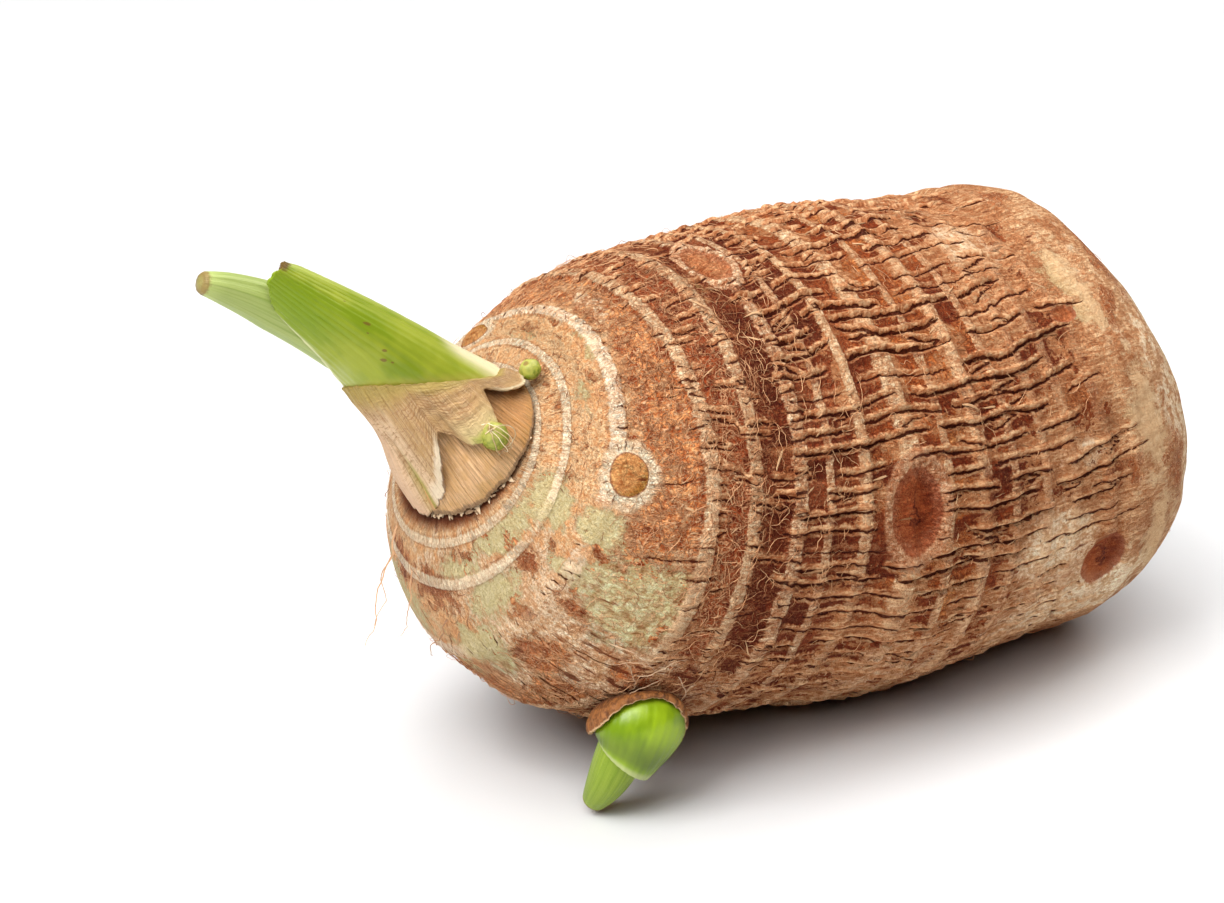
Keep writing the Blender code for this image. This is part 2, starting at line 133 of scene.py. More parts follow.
# %% Sums of sockets
class Wire:
    """Output socket of a node, used in Python sums."""

    def __init__(self, tree, socket=None):
        self.tree = tree
        self.socket = socket

    def node(self, kind, settings=(), inputs=(), output=0):
        """Add a node: its settings first, then the values or links of its sockets."""
        made = self.tree.nodes.new(kind)
        for name, value in dict(settings).items():
            if name == "stops":
                set_stops(made.color_ramp, value)
            else:
                setattr(made, name, value)
        for name, value in dict(inputs).items():
            if isinstance(value, Wire):
                self.tree.links.new(value.socket, made.inputs[name])
            else:
                made.inputs[name].default_value = value
        return Wire(self.tree, made.outputs[output])

    def math(self, operation, *values, clamp=False):
        """One Math node."""
        settings = {"operation": operation, "use_clamp": clamp}
        return self.node("ShaderNodeMath", settings, dict(enumerate(values)))

    def __add__(self, other):
        return self.math("ADD", self, other)

    __radd__ = __add__

    def __sub__(self, other):
        return self.math("SUBTRACT", self, other)

    def __rsub__(self, other):
        return self.math("SUBTRACT", other, self)

    def __mul__(self, other):
        return self.math("MULTIPLY", self, other)

    __rmul__ = __mul__

    def __truediv__(self, other):
        return self.math("DIVIDE", self, other)

    def __pow__(self, other):
        return self.math("POWER", self, other)

    def least(self, other):
        return self.math("MINIMUM", self, other)

    def most(self, other):
        return self.math("MAXIMUM", self, other)

    def size(self):
        return self.math("ABSOLUTE", self)

    def clipped(self):
        return self.math("ADD", self, 0.0, clamp=True)

    def rise(self, low, high):
        """0 below low, 1 above high, smooth between. With low above high it falls."""
        inputs = {"Value": self, "From Min": low, "From Max": high}
        return self.node("ShaderNodeMapRange", {"interpolation_type": "SMOOTHSTEP"}, inputs)

    def stretched(self, x, y, z):
        """Vector scaled on each axis."""
        inputs = {0: self, 1: (x, y, z)}
        return self.node("ShaderNodeVectorMath", {"operation": "MULTIPLY"}, inputs)

    def shifted(self, other):
        """Vector plus a vector."""
        return self.node("ShaderNodeVectorMath", {"operation": "ADD"}, {0: self, 1: other})

    def axis(self, k):
        """One part of a vector."""
        return self.node("ShaderNodeSeparateXYZ", (), {0: self}, output=k)

    def cloud(self, scale, detail=3.0, roughness=0.5, distortion=0.0):
        """Noise between 0 and 1 at this vector."""
        inputs = {
            "Vector": self, "Scale": scale, "Detail": detail,
            "Roughness": roughness, "Distortion": distortion,
        }
        return self.node("ShaderNodeTexNoise", (), inputs)

    def threads(self, scale, detail=2.0, distortion=2.0, width=0.08):
        """Thin curly lines: 1 on a line, 0 between the lines."""
        return (self.cloud(scale, detail, 0.55, distortion) - 0.5).size().rise(width, 0.0)


def set_stops(ramp, stops):
    """Give a colour ramp its stops."""
    while len(ramp.elements) > 1:
        ramp.elements.remove(ramp.elements[0])
    for k, (position, colour) in enumerate(stops):
        stop = ramp.elements[0] if k == 0 else ramp.elements.new(position)
        stop.position = position
        stop.color = (*colour, 1.0)


def blend(base, other, share):
    """Colour between two colours; share is a number or a wire."""
    maker = next(item for item in (base, other, share) if isinstance(item, Wire))
    pair = [item if isinstance(item, Wire) else (*item, 1.0) for item in (base, other)]
    inputs = {0: share, 6: pair[0], 7: pair[1]}
    return maker.node("ShaderNodeMix", {"data_type": "RGBA"}, inputs, output=2)


def deepen(colour, amount):
    """Colour made lighter or darker by a factor; as on dry bark, what is darker is redder."""
    parts = {0: amount, 1: amount ** 1.45, 2: amount ** 1.75}
    factor = amount.node("ShaderNodeCombineXYZ", (), parts)
    return colour.node("ShaderNodeVectorMath", {"operation": "MULTIPLY"}, {0: colour, 1: factor})


def warmed(colour):
    """Colour with its darker tones made redder still."""
    parts = {0: colour.axis(0), 1: 1.07 * colour.axis(1) ** 1.26, 2: 1.23 * colour.axis(2) ** 1.36}
    return colour.node("ShaderNodeCombineXYZ", (), parts)


def new_material(name):
    """Empty Principled material, with the start of its sums."""
    material = bpy.data.materials.new(name)
    material.use_nodes = True
    return material, Wire(material.node_tree)


def run_material(name):
    """Empty material, the start of its sums and the way across, up or along its sheet or ball."""
    material, start = new_material(name)
    return material, start, attribute(start, "run", "Vector")


def attribute(start, name, output="Fac"):
    """Value that a mesh carries at its points."""
    return start.node("ShaderNodeAttribute", {"attribute_name": name}, output=output)


VIEWPORT_BROWN = (0.5, 0.3, 0.2, 1.0)


def finish_material(material, colour, roughness, height, depth, sheen):
    """Wire colour, roughness and a bump of a depth in metres into the shader; sheen is a number."""
    tree = material.node_tree
    shader = tree.nodes["Principled BSDF"]
    tree.links.new(colour.socket, shader.inputs["Base Color"])
    if isinstance(roughness, Wire):
        tree.links.new(roughness.socket, shader.inputs["Roughness"])
    else:
        shader.inputs["Roughness"].default_value = roughness
    bump = colour.node("ShaderNodeBump", (), {"Height": height, "Strength": 1.0, "Distance": depth})
    tree.links.new(bump.socket, shader.inputs["Normal"])
    shader.inputs["Specular IOR Level"].default_value = sheen
    material.diffuse_color = VIEWPORT_BROWN
    return material


print("material helpers ready")

# %% [markdown]
# ## The body of the corm
#
# The corm is a stack of round sections on a bent axis. Every mark on it is placed by two
# numbers: the way along the skin from the root end, in millimetres, and the angle round it
# from the top toward the viewer, in degrees. The solid in the frame has the same sections, so
# the fine skin lies exactly on it.

# %% Sections and places on the skin
SECTIONS = np.array([
    (0, 88.5, 50.8, 0, -14),
    (16, 86.5, 50.3, 17, -15),
    (30, 81.5, 50.3, 32, -15),
    (43, 71.5, 50.8, 42.5, -12),
    (58, 60, 50.3, 48, -9),
    (80, 37.5, 50, 49, -6),
    (100, 15.5, 50.3, 51, -1),
    (118, -2.5, 50.8, 51.2, 2),
    (136, -20.5, 52.8, 49, 7),
    (154, -37.5, 54, 47.8, 12),
    (170, -52.5, 56.3, 45.4, 15),
    (184, -64, 58.3, 41.2, 18),
    (198, -74.5, 62.8, 33, 25),
    (212, -78.5, 67.1, 25.5, 33),
    (224, -82, 70.3, 16, 38),
    (236, -83, 72.8, 0, 38),
])
BODY_LENGTH = 236.0
FOOTPRINT_MIDDLE = np.array((-22.17, 0.01, 0.0))


def curve_through(knots, values, x):
    """Smooth curve through given values."""
    width = np.diff(knots)
    slope = np.diff(values) / width
    tangent = np.empty(len(values))
    tangent[1:-1] = (slope[:-1] * width[1:] + slope[1:] * width[:-1]) / (width[1:] + width[:-1])
    tangent[0] = slope[0] * 1.5 - tangent[1] * 0.5
    tangent[-1] = slope[-1] * 1.5 - tangent[-2] * 0.5
    i = np.clip(np.searchsorted(knots, x) - 1, 0, len(knots) - 2)
    t = (x - knots[i]) / width[i]
    start = (2 * t**3 - 3 * t**2 + 1) * values[i] + (t**3 - 2 * t**2 + t) * width[i] * tangent[i]
    end = (3 * t**2 - 2 * t**3) * values[i + 1] + (t**3 - t**2) * width[i] * tangent[i + 1]
    return start + end


def section(along):
    """Middle of a section, its radius and its lean in radians."""
    x, z, radius, lean = (curve_through(SECTIONS[:, 0], SECTIONS[:, k], along) for k in (1, 2, 3, 4))
    return x, z, np.maximum(radius, 0.0), np.radians(lean)


def skin(along, around, lift=0.0):
    """Points on the plain body, in millimetres, raised by a lift."""
    along, around = np.broadcast_arrays(np.asarray(along, float), np.asarray(around, float))
    x, z, radius, lean = section(along)
    turn = np.radians(around)
    reach = radius + lift
    side = reach * np.cos(turn)
    points = (x + side * np.sin(lean), -reach * np.sin(turn), z + side * np.cos(lean))
    return np.stack(points, axis=-1) - FOOTPRINT_MIDDLE


def outward(along, around):
    """Directions square to the plain body."""
    along = np.clip(np.asarray(along, float), 0.6, BODY_LENGTH - 0.6)
    p_along = skin(along + 0.5, around) - skin(along - 0.5, around)
    p_around = skin(along, around + 0.5) - skin(along, around - 0.5)
    normal = np.cross(p_along, p_around)
    return normal / np.linalg.norm(normal, axis=-1, keepdims=True)


def angle_gap(a, b):
    """Signed difference of two angles in degrees, between -180 and 180."""
    return (np.asarray(a) - b + 180.0) % 360.0 - 180.0


def bell(x, middle, spread):
    """Bump of height 1 round a middle."""
    return np.exp(-(((x - middle) / spread) ** 2))


def smooth(x, low, high):
    """0 below low, 1 above high, smooth between. With low above high it falls."""
    t = np.clip((np.asarray(x, float) - low) / (high - low), 0.0, 1.0)
    return t * t * (3.0 - 2.0 * t)


out_check = outward(118.0, 0.0)
print("the top of the middle section looks", np.round(out_check, 2))

# %% [markdown]
# ## Leaf scars
#
# Each leaf left a ring. On the young crown the rings are smooth, pale bands. Toward the old
# root end they are broken tan ridges, and the last ones have worn away. A ring sways along the
# corm as it goes round, so the rows of the mesh sway with it, and every ring has rows of its
# own at its edges. That keeps the edges sharp without more triangles.

# %% Rings and rows
# Place along, sway, angle of the sway, height, half width, paleness.
RINGS = np.array([
    (20, 1, 40, 0.2, 2.5, 0), (32, 1.5, 80, 0.2, 2.5, 0.05), (44, 1.5, 110, 0.25, 2.5, 0.1),
    (55, 1.2, 20, 0.3, 2, 0.15), (65, 1, 60, 0.35, 1.6, 0.25), (74, 1, 30, 0.45, 1.4, 0.35),
    (83, 0.8, 70, 0.5, 1.4, 0.45), (91, 0.6, 40, 0.5, 1.3, 0.55), (100, 0.6, 10, 0.5, 1.2, 0.7),
    (108, 0.8, 30, 0.7, 1.8, 0.95), (117, 0.6, 60, 0.5, 1.2, 0.6), (127, 0.8, 20, 0.7, 2.6, 0.9),
    (138, 0.8, 0, 0.7, 1.5, 0.85), (147, 0.6, 30, 0.6, 1.2, 0.7), (155, 0.5, 0, 0.7, 1.9, 0.95),
    (166, 1, 0, 0.6, 1.7, 0.95), (177.6, 3.4, 0, 0.6, 1.9, 1), (197, 2.7, 115, 0.6, 2, 1),
    (213, 0.8, 20, 0.55, 1.3, 0.8), (221, 0.6, 0, 0.5, 0.9, 0.9),
])
POINTS_AROUND = 570
FINE_STEP = 1.55
SMOOTH_STEP = 2.6
SMOOTH_END = 62.0


def corm_rows():
    """Places of the mesh rows: at the edges of every ring, and evenly between them."""
    marks = {0.0, 1.2, 3.0, 6.0, BODY_LENGTH - 1.5, BODY_LENGTH}
    for place, _, _, _, half, pale in RINGS:
        offsets = (-half - 0.7, -half, 0.0, half, half + 0.7) if pale > 0.2 else (0.0,)
        marks.update(place + offset for offset in offsets)
    marks = sorted(marks)
    rows = [0.0]
    for start, end in zip(marks[:-1], marks[1:]):
        step = SMOOTH_STEP if end < SMOOTH_END else FINE_STEP
        count = max(1, math.ceil((end - start) / step - 0.15))
        rows += [start + (end - start) * k / count for k in range(1, count + 1)]
    return np.array(rows)


ROWS = corm_rows()
print(len(ROWS), "rows,", 2 * POINTS_AROUND * (len(ROWS) - 2), "triangles")

# %% [markdown]
# ## Cracks
#
# As the skin dries it splits along the corm, in long wavy cracks a few millimetres apart that
# start and stop. On the pale rings there are short dark ticks as well. Each crack is a track:
# a start, an end, an angle, a wave and a depth. The mesh gets a groove for each, and it also
# carries the distance to the nearest crack, so that the material can paint the groove's shade
# as a dark line that is finer than the mesh. The distance would jump halfway between two
# cracks, so it is kept as the cosine and sine of a phase, which don't jump.

# %% Crack tracks
CHAINS = 77
CRACK_START = 60.0
CRACK_END = 158.0
TICK_END = 181.0
rng = np.random.default_rng(11)


def crack_drift(along, around):
    """Shared bend of all cracks, in degrees, so that neighbours run side by side."""
    turn = np.radians(around)
    slow = 2.0 * np.sin(along / 23.0 + 2.0 * turn) + 1.2 * np.sin(along / 9.5 + 3.0 * turn + 1.0)
    return slow + 0.5 * np.sin(along / 4.1 + 5.0 * turn)


def new_crack(start, end, around, slope, depth, taper):
    """One crack: ends, angle, slope in degrees a millimetre, wave, depth, taper of its ends."""
    wave = (rng.uniform(0.1, 0.5), rng.uniform(2.2, 5.0), rng.uniform(0.0, 6.3))
    return (start, end, around, slope, *wave, depth, taper)


def long_cracks():
    """Chains of cracks along the corm, broken at random, with short branches."""
    tracks = []
    for k in range(CHAINS):
        around = (k + rng.uniform(-0.2, 0.2)) * 360.0 / CHAINS
        along = rng.uniform(CRACK_START, CRACK_START + 25.0)
        while along < CRACK_END - 4.0:
            end = min(along + rng.uniform(7.0, 40.0), CRACK_END + rng.uniform(-6.0, 4.0))
            depth = rng.uniform(0.6, 1.0) if rng.random() < 0.72 else rng.uniform(0.2, 0.5)
            side = rng.choice((-1.0, 1.0))
            tracks.append(new_crack(along, end, around, rng.uniform(-0.02, 0.02), depth, 3.0))
            if depth > 0.5 and end - along > 12.0 and rng.random() < 0.7:
                fork = rng.uniform(along + 2.0, end - 7.0)
                slope = side * rng.uniform(0.15, 0.4)
                reach = fork + rng.uniform(5.0, 10.0)
                tracks.append(new_crack(fork, reach, around + 0.6 * side, slope, depth * 0.7, 2.0))
            along = end + rng.uniform(0.5, 5.0)
    return tracks


def short_cracks():
    """Short cracks that cross the rings of the fibrous belt."""
    tracks = []
    around = 0.0
    while around < 360.0:
        along = CRACK_END + rng.uniform(-3.0, 16.0)
        while along < TICK_END:
            end = along + rng.uniform(4.0, 11.0)
            slope, depth = rng.uniform(-0.03, 0.03), rng.uniform(0.2, 0.7)
            tracks.append(new_crack(along, end, around, slope, depth, 2.0))
            along = end + rng.uniform(2.0, 16.0)
        around += rng.uniform(2.5, 6.5)
    return tracks


def ring_ticks():
    """Short ticks across the pale rings of the crown half, and a ladder of them at the front."""
    tracks = []
    for place, sway, angle, _, half, _ in RINGS[14:18]:
        around = rng.uniform(0.0, 4.0)
        while around < 360.0:
            middle = place + sway * math.cos(2.0 * math.radians(around - angle))
            reach = half * rng.uniform(0.6, 1.2)
            ends = (middle - reach + rng.uniform(-0.5, 0.5), middle + reach + rng.uniform(-0.5, 0.5))
            base = around - float(crack_drift(middle, around))
            tracks.append(new_crack(*ends, base, 0.0, rng.uniform(0.25, 0.6), 0.8))
            around += rng.uniform(2.0, 8.0)
    for k in range(7):
        middle, around = 201.0 - 0.8 * k, 122.0 - 3.0 * k
        base = around - float(crack_drift(middle, around))
        tracks.append(new_crack(middle - 2.1, middle + 2.1, base, 0.2, 0.75, 0.8))
    return tracks


def cell_tones(along, around, row):
    """Chance number of each cell that lies between two rings and two cracks."""
    chain = np.floor((around - crack_drift(along, around)) % 360.0 * CHAINS / 360.0).astype(int) % CHAINS
    return CELLS[np.searchsorted(RINGS[:, 0], row), chain]


CELLS = np.random.default_rng(5).random((len(RINGS) + 1, CHAINS))
TRACKS = np.array(long_cracks() + short_cracks() + ring_ticks())
print(len(TRACKS), "cracks and ticks")


# %% Distance to the nearest crack
def crack_fields(along, around):
    """For each point: signed distance, gap between neighbours, phase and depth of its crack.

    The points come as rows of the mesh, each row in order round the corm.
    """
    distance = np.full(along.shape, 9.0)
    phase = np.full(along.shape, math.pi)
    gap = np.full(along.shape, 18.0)
    depth = np.zeros(along.shape)
    for r in range(along.shape[0]):
        here = float(np.mean(along[r]))
        inside = TRACKS[(TRACKS[:, 0] < here) & (TRACKS[:, 1] > here)]
        if len(inside) < 2:
            continue
        start, end, base, slope, swing, length, shift, deep, taper = inside.T
        bend = slope * (here - start) + swing * np.sin(here / length + shift)
        middle = (base + crack_drift(here, base) + bend) % 360.0
        deep = deep * smooth(np.minimum(here - start, end - here), 0.0, taper)
        order = np.argsort(middle)
        middle, deep = middle[order], deep[order]
        turn = around[r] % 360.0
        after = np.searchsorted(middle, turn) % len(middle)
        before = (after - 1) % len(middle)
        mm = math.radians(1.0) * float(section(here)[2])
        past = ((turn - middle[before]) % 360.0) * mm
        left = ((middle[after] - turn) % 360.0) * mm
        gap[r] = past + left
        distance[r] = np.where(past < left, past, -left)
        phase[r] = 2.0 * math.pi * past / np.maximum(gap[r], 1e-6)
        depth[r] = np.where(past < left, deep[before], deep[after])
    return distance, gap, phase, depth


test_gap = crack_fields(np.full((1, 360), 120.0), np.arange(360.0)[None, :])[1]
print("cracks lie", round(float(np.mean(test_gap)), 1), "mm apart at 120 mm along")

# %% [markdown]
# ## Relief of the skin
#
# The relief is a sum: broad swellings, rings, resting buds, hollow scars, cracks and a fine
# unevenness. The first four are the solid's own, so the fine skin keeps its form. The blunt
# root end has a healed scar in its middle: a low ridge round a puckered hollow.

# %% Relief
# Place along, angle round, spread along, spread round, height.
LUMPS = (
    (62, 172, 20, 38, 2.6), (48, -12, 16, 35, 2.2), (92, 178, 26, 30, 0.8), (38, 235, 17, 26, 1.8),
    (20, 60, 12, 30, 1), (74, 290, 15, 22, 1.2), (168, 138, 7, 11, 1.2), (171, 262, 9, 13, 1),
    (123.5, 70, 5, 5, 0.9), (154, 112, 2.6, 3, 0.9),
)
# Place along, angle round, radius, height.
BUDS = (
    (193.5, 69, 4, 1.5), (186, 205, 4, 1.4), (203, 318, 3.8, 1.3), (160, 246, 4, 1.3),
    (132, 214, 3.8, 1.2), (141, 318, 4.2, 1.3), (104, 262, 4, 1.1),
)
# Place along, angle round, half length, half width, depth, redness, paleness of the rim.
SCARS = (
    (124.8, 83.3, 5.9, 9.4, 1.6, 1, 0.3), (155.5, 8.5, 5, 7.4, 0.7, 0.45, 1),
    (73, 113, 5.2, 7.4, 1.3, 1.1, 0), (88, 226, 5.5, 8.5, 1.2, 0.9, 0.4),
    (112, 303, 6, 9.5, 1.4, 0.9, 0.5), (127, 118.5, 1.3, 1.3, 1.5, 1.6, 0.2),
    (73, 46, 3.6, 2, 0.5, 0.75, 0),
)
RIM_HEIGHT = 0.6
FLOOR_LIFT = 0.02
BUD_SIZES = [(bud[2], bud[2]) for bud in BUDS]
SCAR_SIZES = [scar[2:4] for scar in SCARS]


def spot_offset(along, around, spot):
    """Distances along and round the skin from a spot, in millimetres."""
    radius = float(section(spot[0])[2])
    return along - spot[0], np.radians(angle_gap(around, spot[1])) * radius


def soft_spot(along, around, spot):
    """Round bump from its place along, angle, spreads along and round, and strength."""
    place, angle, spread_along, spread_around, strength = spot
    reach = ((along - place) / spread_along) ** 2 + (angle_gap(around, angle) / spread_around) ** 2
    return strength * np.exp(-reach)


def nearest_spot(along, around, spots, sizes):
    """Offsets from the nearest spot, as shares of its size, and its number."""
    best = np.full(along.shape, 9.0)
    offsets = [np.full(along.shape, 9.0), np.full(along.shape, 0.0)]
    number = np.zeros(along.shape, int)
    for k, spot in enumerate(spots):
        d_along, d_around = spot_offset(along, around, spot)
        across = d_along / sizes[k][0], d_around / sizes[k][1]
        away = np.hypot(*across)
        nearer = away < best
        best = np.where(nearer, away, best)
        offsets = [np.where(nearer, new, old) for new, old in zip(across, offsets)]
        number = np.where(nearer, k, number)
    return best, offsets, number


def ring_band(row):
    """How far inside a ring a row is, 1 in its middle and 0 at its edge, and which ring."""
    away = np.abs(row[..., None] - RINGS[:, 0]) / RINGS[:, 4]
    number = np.argmin(away, axis=-1)
    return 1.0 - np.min(away, axis=-1), number


def noise_field(points, size, seed):
    """Smooth noise between -1 and 1 at points in millimetres."""
    shift = Vector((seed * 17.3, seed * 5.1, seed * 9.7))
    scaled = (points / size).reshape(-1, 3)
    values = [noise.noise(Vector(point) + shift) for point in scaled]
    return np.array(values).reshape(points.shape[:-1])


# Radius of the healed scar at the root end, and how far along the corm its relief is added.
ROOT_SCAR = 13.0
ROOT_END = 40.0


def body_relief(along, around, row):
    """Height of the swellings, rings, buds and scars."""
    height = np.full(along.shape, -0.35)
    for ring in RINGS:
        away = np.abs(row - ring[0])
        height += ring[3] * 0.75 * smooth(away, ring[4] + 0.45, ring[4] - 0.35)
        height += ring[3] * 0.45 * bell(away, 0.0, ring[4] + 2.0)
    for lump in LUMPS:
        height += soft_spot(along, around, lump)
    for bud in BUDS:
        away = np.hypot(*spot_offset(along, around, bud)) / bud[2]
        height += bud[3] * np.exp(-(away**5)) + 0.5 * bell(away, 1.55, 0.35)
    for scar in SCARS:
        d_along, d_around = spot_offset(along, around, scar)
        away = np.hypot(d_along / scar[2], d_around / scar[3])
        rim = min(RIM_HEIGHT, scar[4])
        height += rim * bell(away, 1.12, 0.2) - scar[4] * np.exp(-(away**5))
    return height


def root_scar_relief(along, around):
    """Height, square to the blunt root end, of the healed scar in its middle."""
    turn = np.radians(around)
    edge = ROOT_SCAR + 1.2 * np.sin(3.0 * turn + 0.7) + 0.7 * np.sin(7.0 * turn)
    folds = 0.45 * np.sin(17.0 * turn + 2.0 * np.sin(4.0 * turn)) + 0.25 * np.sin(31.0 * turn)
    ridge = 1.1 * bell(along - edge, 1.5, 1.6)
    hollow = -1.5 * smooth(along, edge + 0.5, edge - 3.5)
    return ridge + hollow + folds * bell(along - edge, -2.5, 3.5)


def crack_relief(distance, depth):
    """Height of the cracks: a narrow groove under a raised lip."""
    groove = -0.85 * depth * bell(distance, 0.1, 0.45)
    upper = 0.85 * bell(distance, -0.95, 0.6)
    lower = 0.35 * bell(distance, 1.1, 0.6)
    return groove + depth * (upper + lower)


def fine_relief(points, along):
    """Small unevenness, strong on the old skin and weak on the smooth ends."""
    rough = smooth(along, 55.0, 90.0) * smooth(along, 200.0, 175.0)
    worn = smooth(along, 90.0, 60.0)
    height = noise_field(points, 9.0, 1) * (0.4 + 0.6 * worn)
    height = height + noise_field(points, 1.9, 3) * 0.06 * rough
    height += noise_field(points, 20.0, 4) * 1.3 * worn
    return height + noise_field(points, 3.6, 2) * (0.12 + 0.10 * rough + 0.12 * worn)


print("relief of", len(LUMPS), "swellings,", len(BUDS), "buds and", len(SCARS), "hollow scars")

# %% [markdown]
# ## The corm's mesh
#
# A sphere primitive already has rows and a closed pole at each end, so the corm starts as one
# and its points are moved to the body by the formula. No set of hand operators would place a
# hundred thousand points on cracks and rings, which is why this piece is shaped in code. The
# values that the material needs are written on the points as attributes.

# %% Zones of colour
# Place along, angle round, spread along, spread round, strength.
GREEN_SPOTS = (
    (184, 105, 11, 14, 1.2), (196, 88, 5.5, 8, 1.1), (211, 88, 7, 13, 1), (207, 134, 8, 18, 0.8),
    (198, 155, 8, 16, 0.8), (193, 171, 6, 10, 0.6), (217.5, 112, 3, 30, 0.9), (200, 104, 8, 7, 0.7),
    (196, 22, 3, 10, 0.8), (206, 40, 5, 9, 0.6), (203, 200, 10, 30, 0.7), (190, 285, 8, 25, 0.6),
    (67, 36, 5, 9, 1), (66, 46, 4, 6, 0.9), (61, 76, 6, 18, 0.9), (57, 112, 7, 18, 0.9),
    (34, 60, 16, 60, 0.5), (28, 250, 20, 50, 0.6), (166, 18, 3, 10, 0.6), (216, 104, 5, 16, 0.8),
    (210, 350, 6, 14, 0.5), (216, 150, 4, 20, 0.7),
)
RED_SPOTS = (
    (211, 168, 5.5, 14, 1.15), (192.8, 138, 4.6, 10, 1.35), (194, 114, 4.5, 4, 0.85),
    (193.4, 96, 3.5, 3, 0.95), (204.5, 100, 2.5, 4, 0.7), (210, 114, 6, 6, 0.95),
    (186.5, 86, 5, 9, 0.9), (205, -10, 6, 14, 0.55), (202, 30, 3, 22, 0.5),
    (208, 66, 2.5, 12, 0.45), (177, 128, 6, 7, 1), (200, 128, 4, 7, 0.6), (219, 138, 2, 26, 0.6),
    (214, 196, 5, 14, 1), (195, 235, 7, 20, 0.8), (206, 285, 5, 22, 0.7), (187, 320, 5, 22, 0.8),
    (216, 20, 2, 50, 0.55), (178, 112, 2.5, 6, 0.7), (72, 110, 6, 9, 0.8), (58, 46, 4, 7, 1),
    (63, 4, 4, 6, 0.9), (78, 66, 6, 7, 0.9), (70, 88, 5, 8, 0.8), (52, 92, 6, 14, 0.8),
    (48, 30, 6, 20, 0.7), (20, 35, 6, 20, 0.8), (44, 170, 10, 14, 0.7), (30, 300, 10, 22, 0.6),
    (60, 235, 8, 14, 0.6), (4, 90, 7, 400, 0.7), (123.5, 70.5, 3.4, 3.6, 1.1), (98, 63, 8, 7, 0.9),
    (116, 40, 5, 14, 1), (132.5, 38, 3.5, 24, 1), (102, 45, 3.5, 30, 1), (90, 50, 4, 8, 0.7),
    (76, 48, 3, 6, 0.8), (146, 70, 6, 60, 1), (116, 260, 5, 24, 0.9), (132.5, 190, 3.5, 40, 0.9),
    (146, 240, 6, 60, 0.9), (132.5, 95, 3.5, 25, 0.9), (116, 105, 5, 14, 0.8),
)
# Where pale, mottled skin lies bare of fibres.
BARE_SPOTS = (
    (204, 124, 16, 30, 1), (186, 118, 9, 18, 0.9), (214, 150, 10, 40, 0.8), (187, 5, 3, 16, 0.6),
    (200, 215, 14, 30, 0.8), (190, 300, 10, 20, 0.6), (158, 130, 12, 14, 0.7),
    (120, 132, 20, 20, 0.6), (40, 75, 26, 70, 0.5), (88, 102, 12, 12, 0.9), (76, 126, 22, 16, 0.9),
    (80, 80, 8, 8, 0.5), (84, 20, 10, 12, 0.6), (186, 92, 2.5, 4, 0.9), (184, 130, 8, 9, 1.3),
    (194, 152, 8, 10, 0.9), (174, 122, 6, 6, 1.1), (163, 122, 5, 5, 0.8),
)
# Painted shade in the hollows beside the side shoot.
HOLLOW_SHADE_SPOTS = (
    (171, 133, 7, 1.8, 1), (163, 135, 6, 1.6, 0.9), (179, 131, 5, 1.4, 0.9),
    (168, 150, 10, 12, 0.8), (184, 135, 4, 1.3, 0.7), (156, 131, 5, 1.4, 0.6),
    (183, 127, 10, 8, 0.46), (187, 129, 4, 1.6, 0.7), (181, 121, 4, 1.4, 0.6),
    (168, 124, 8, 7, 0.44),
)
# Place of a ring, angle round, spread in degrees, and how much of the ring is worn off there.
RING_FADES = (
    (197, 87, 10, 0.95), (197, 112, 12, 0.6), (197, 146, 26, 1), (213, 98, 14, 0.7),
    (177.6, 126, 16, 0.7), (166, 128, 14, 0.8), (155, 20, 12, 0.6), (197, 220, 20, 0.7),
    (177.6, 250, 18, 0.5), (213, 270, 20, 0.6), (138, 110, 18, 0.6), (127, 130, 25, 0.7),
    (108, 85, 18, 0.7), (221, 104, 10, 0.4),
)
SPOT_WARP = 3.4


def strongest(along, around, spots):
    """The strongest of the soft spots at each point."""
    total = np.zeros(along.shape)
    for spot in spots:
        total = np.maximum(total, soft_spot(along, around, spot))
    return total


def turn_faces_out():
    """Turn all faces of the piece outward."""
    bpy.ops.object.mode_set(mode="EDIT")
    bpy.ops.mesh.select_all(action="SELECT")
    bpy.ops.mesh.normals_make_consistent(inside=False)
    bpy.ops.object.mode_set(mode="OBJECT")


def put_on_points(mesh, name, *parts):
    """Write a number on each point, or a vector when there are three parts."""
    kind, key = ("FLOAT", "value") if len(parts) == 1 else ("FLOAT_VECTOR", "vector")
    layer = mesh.attributes.new(name, kind, "POINT")
    stacked = np.stack([np.asarray(part, np.float32).ravel() for part in parts], axis=-1)
    layer.data.foreach_set(key, stacked.ravel())


for kind, spots in (("green", GREEN_SPOTS), ("red", RED_SPOTS), ("bare", BARE_SPOTS), ("dark", HOLLOW_SHADE_SPOTS)):
    print(len(spots), kind, "spots")


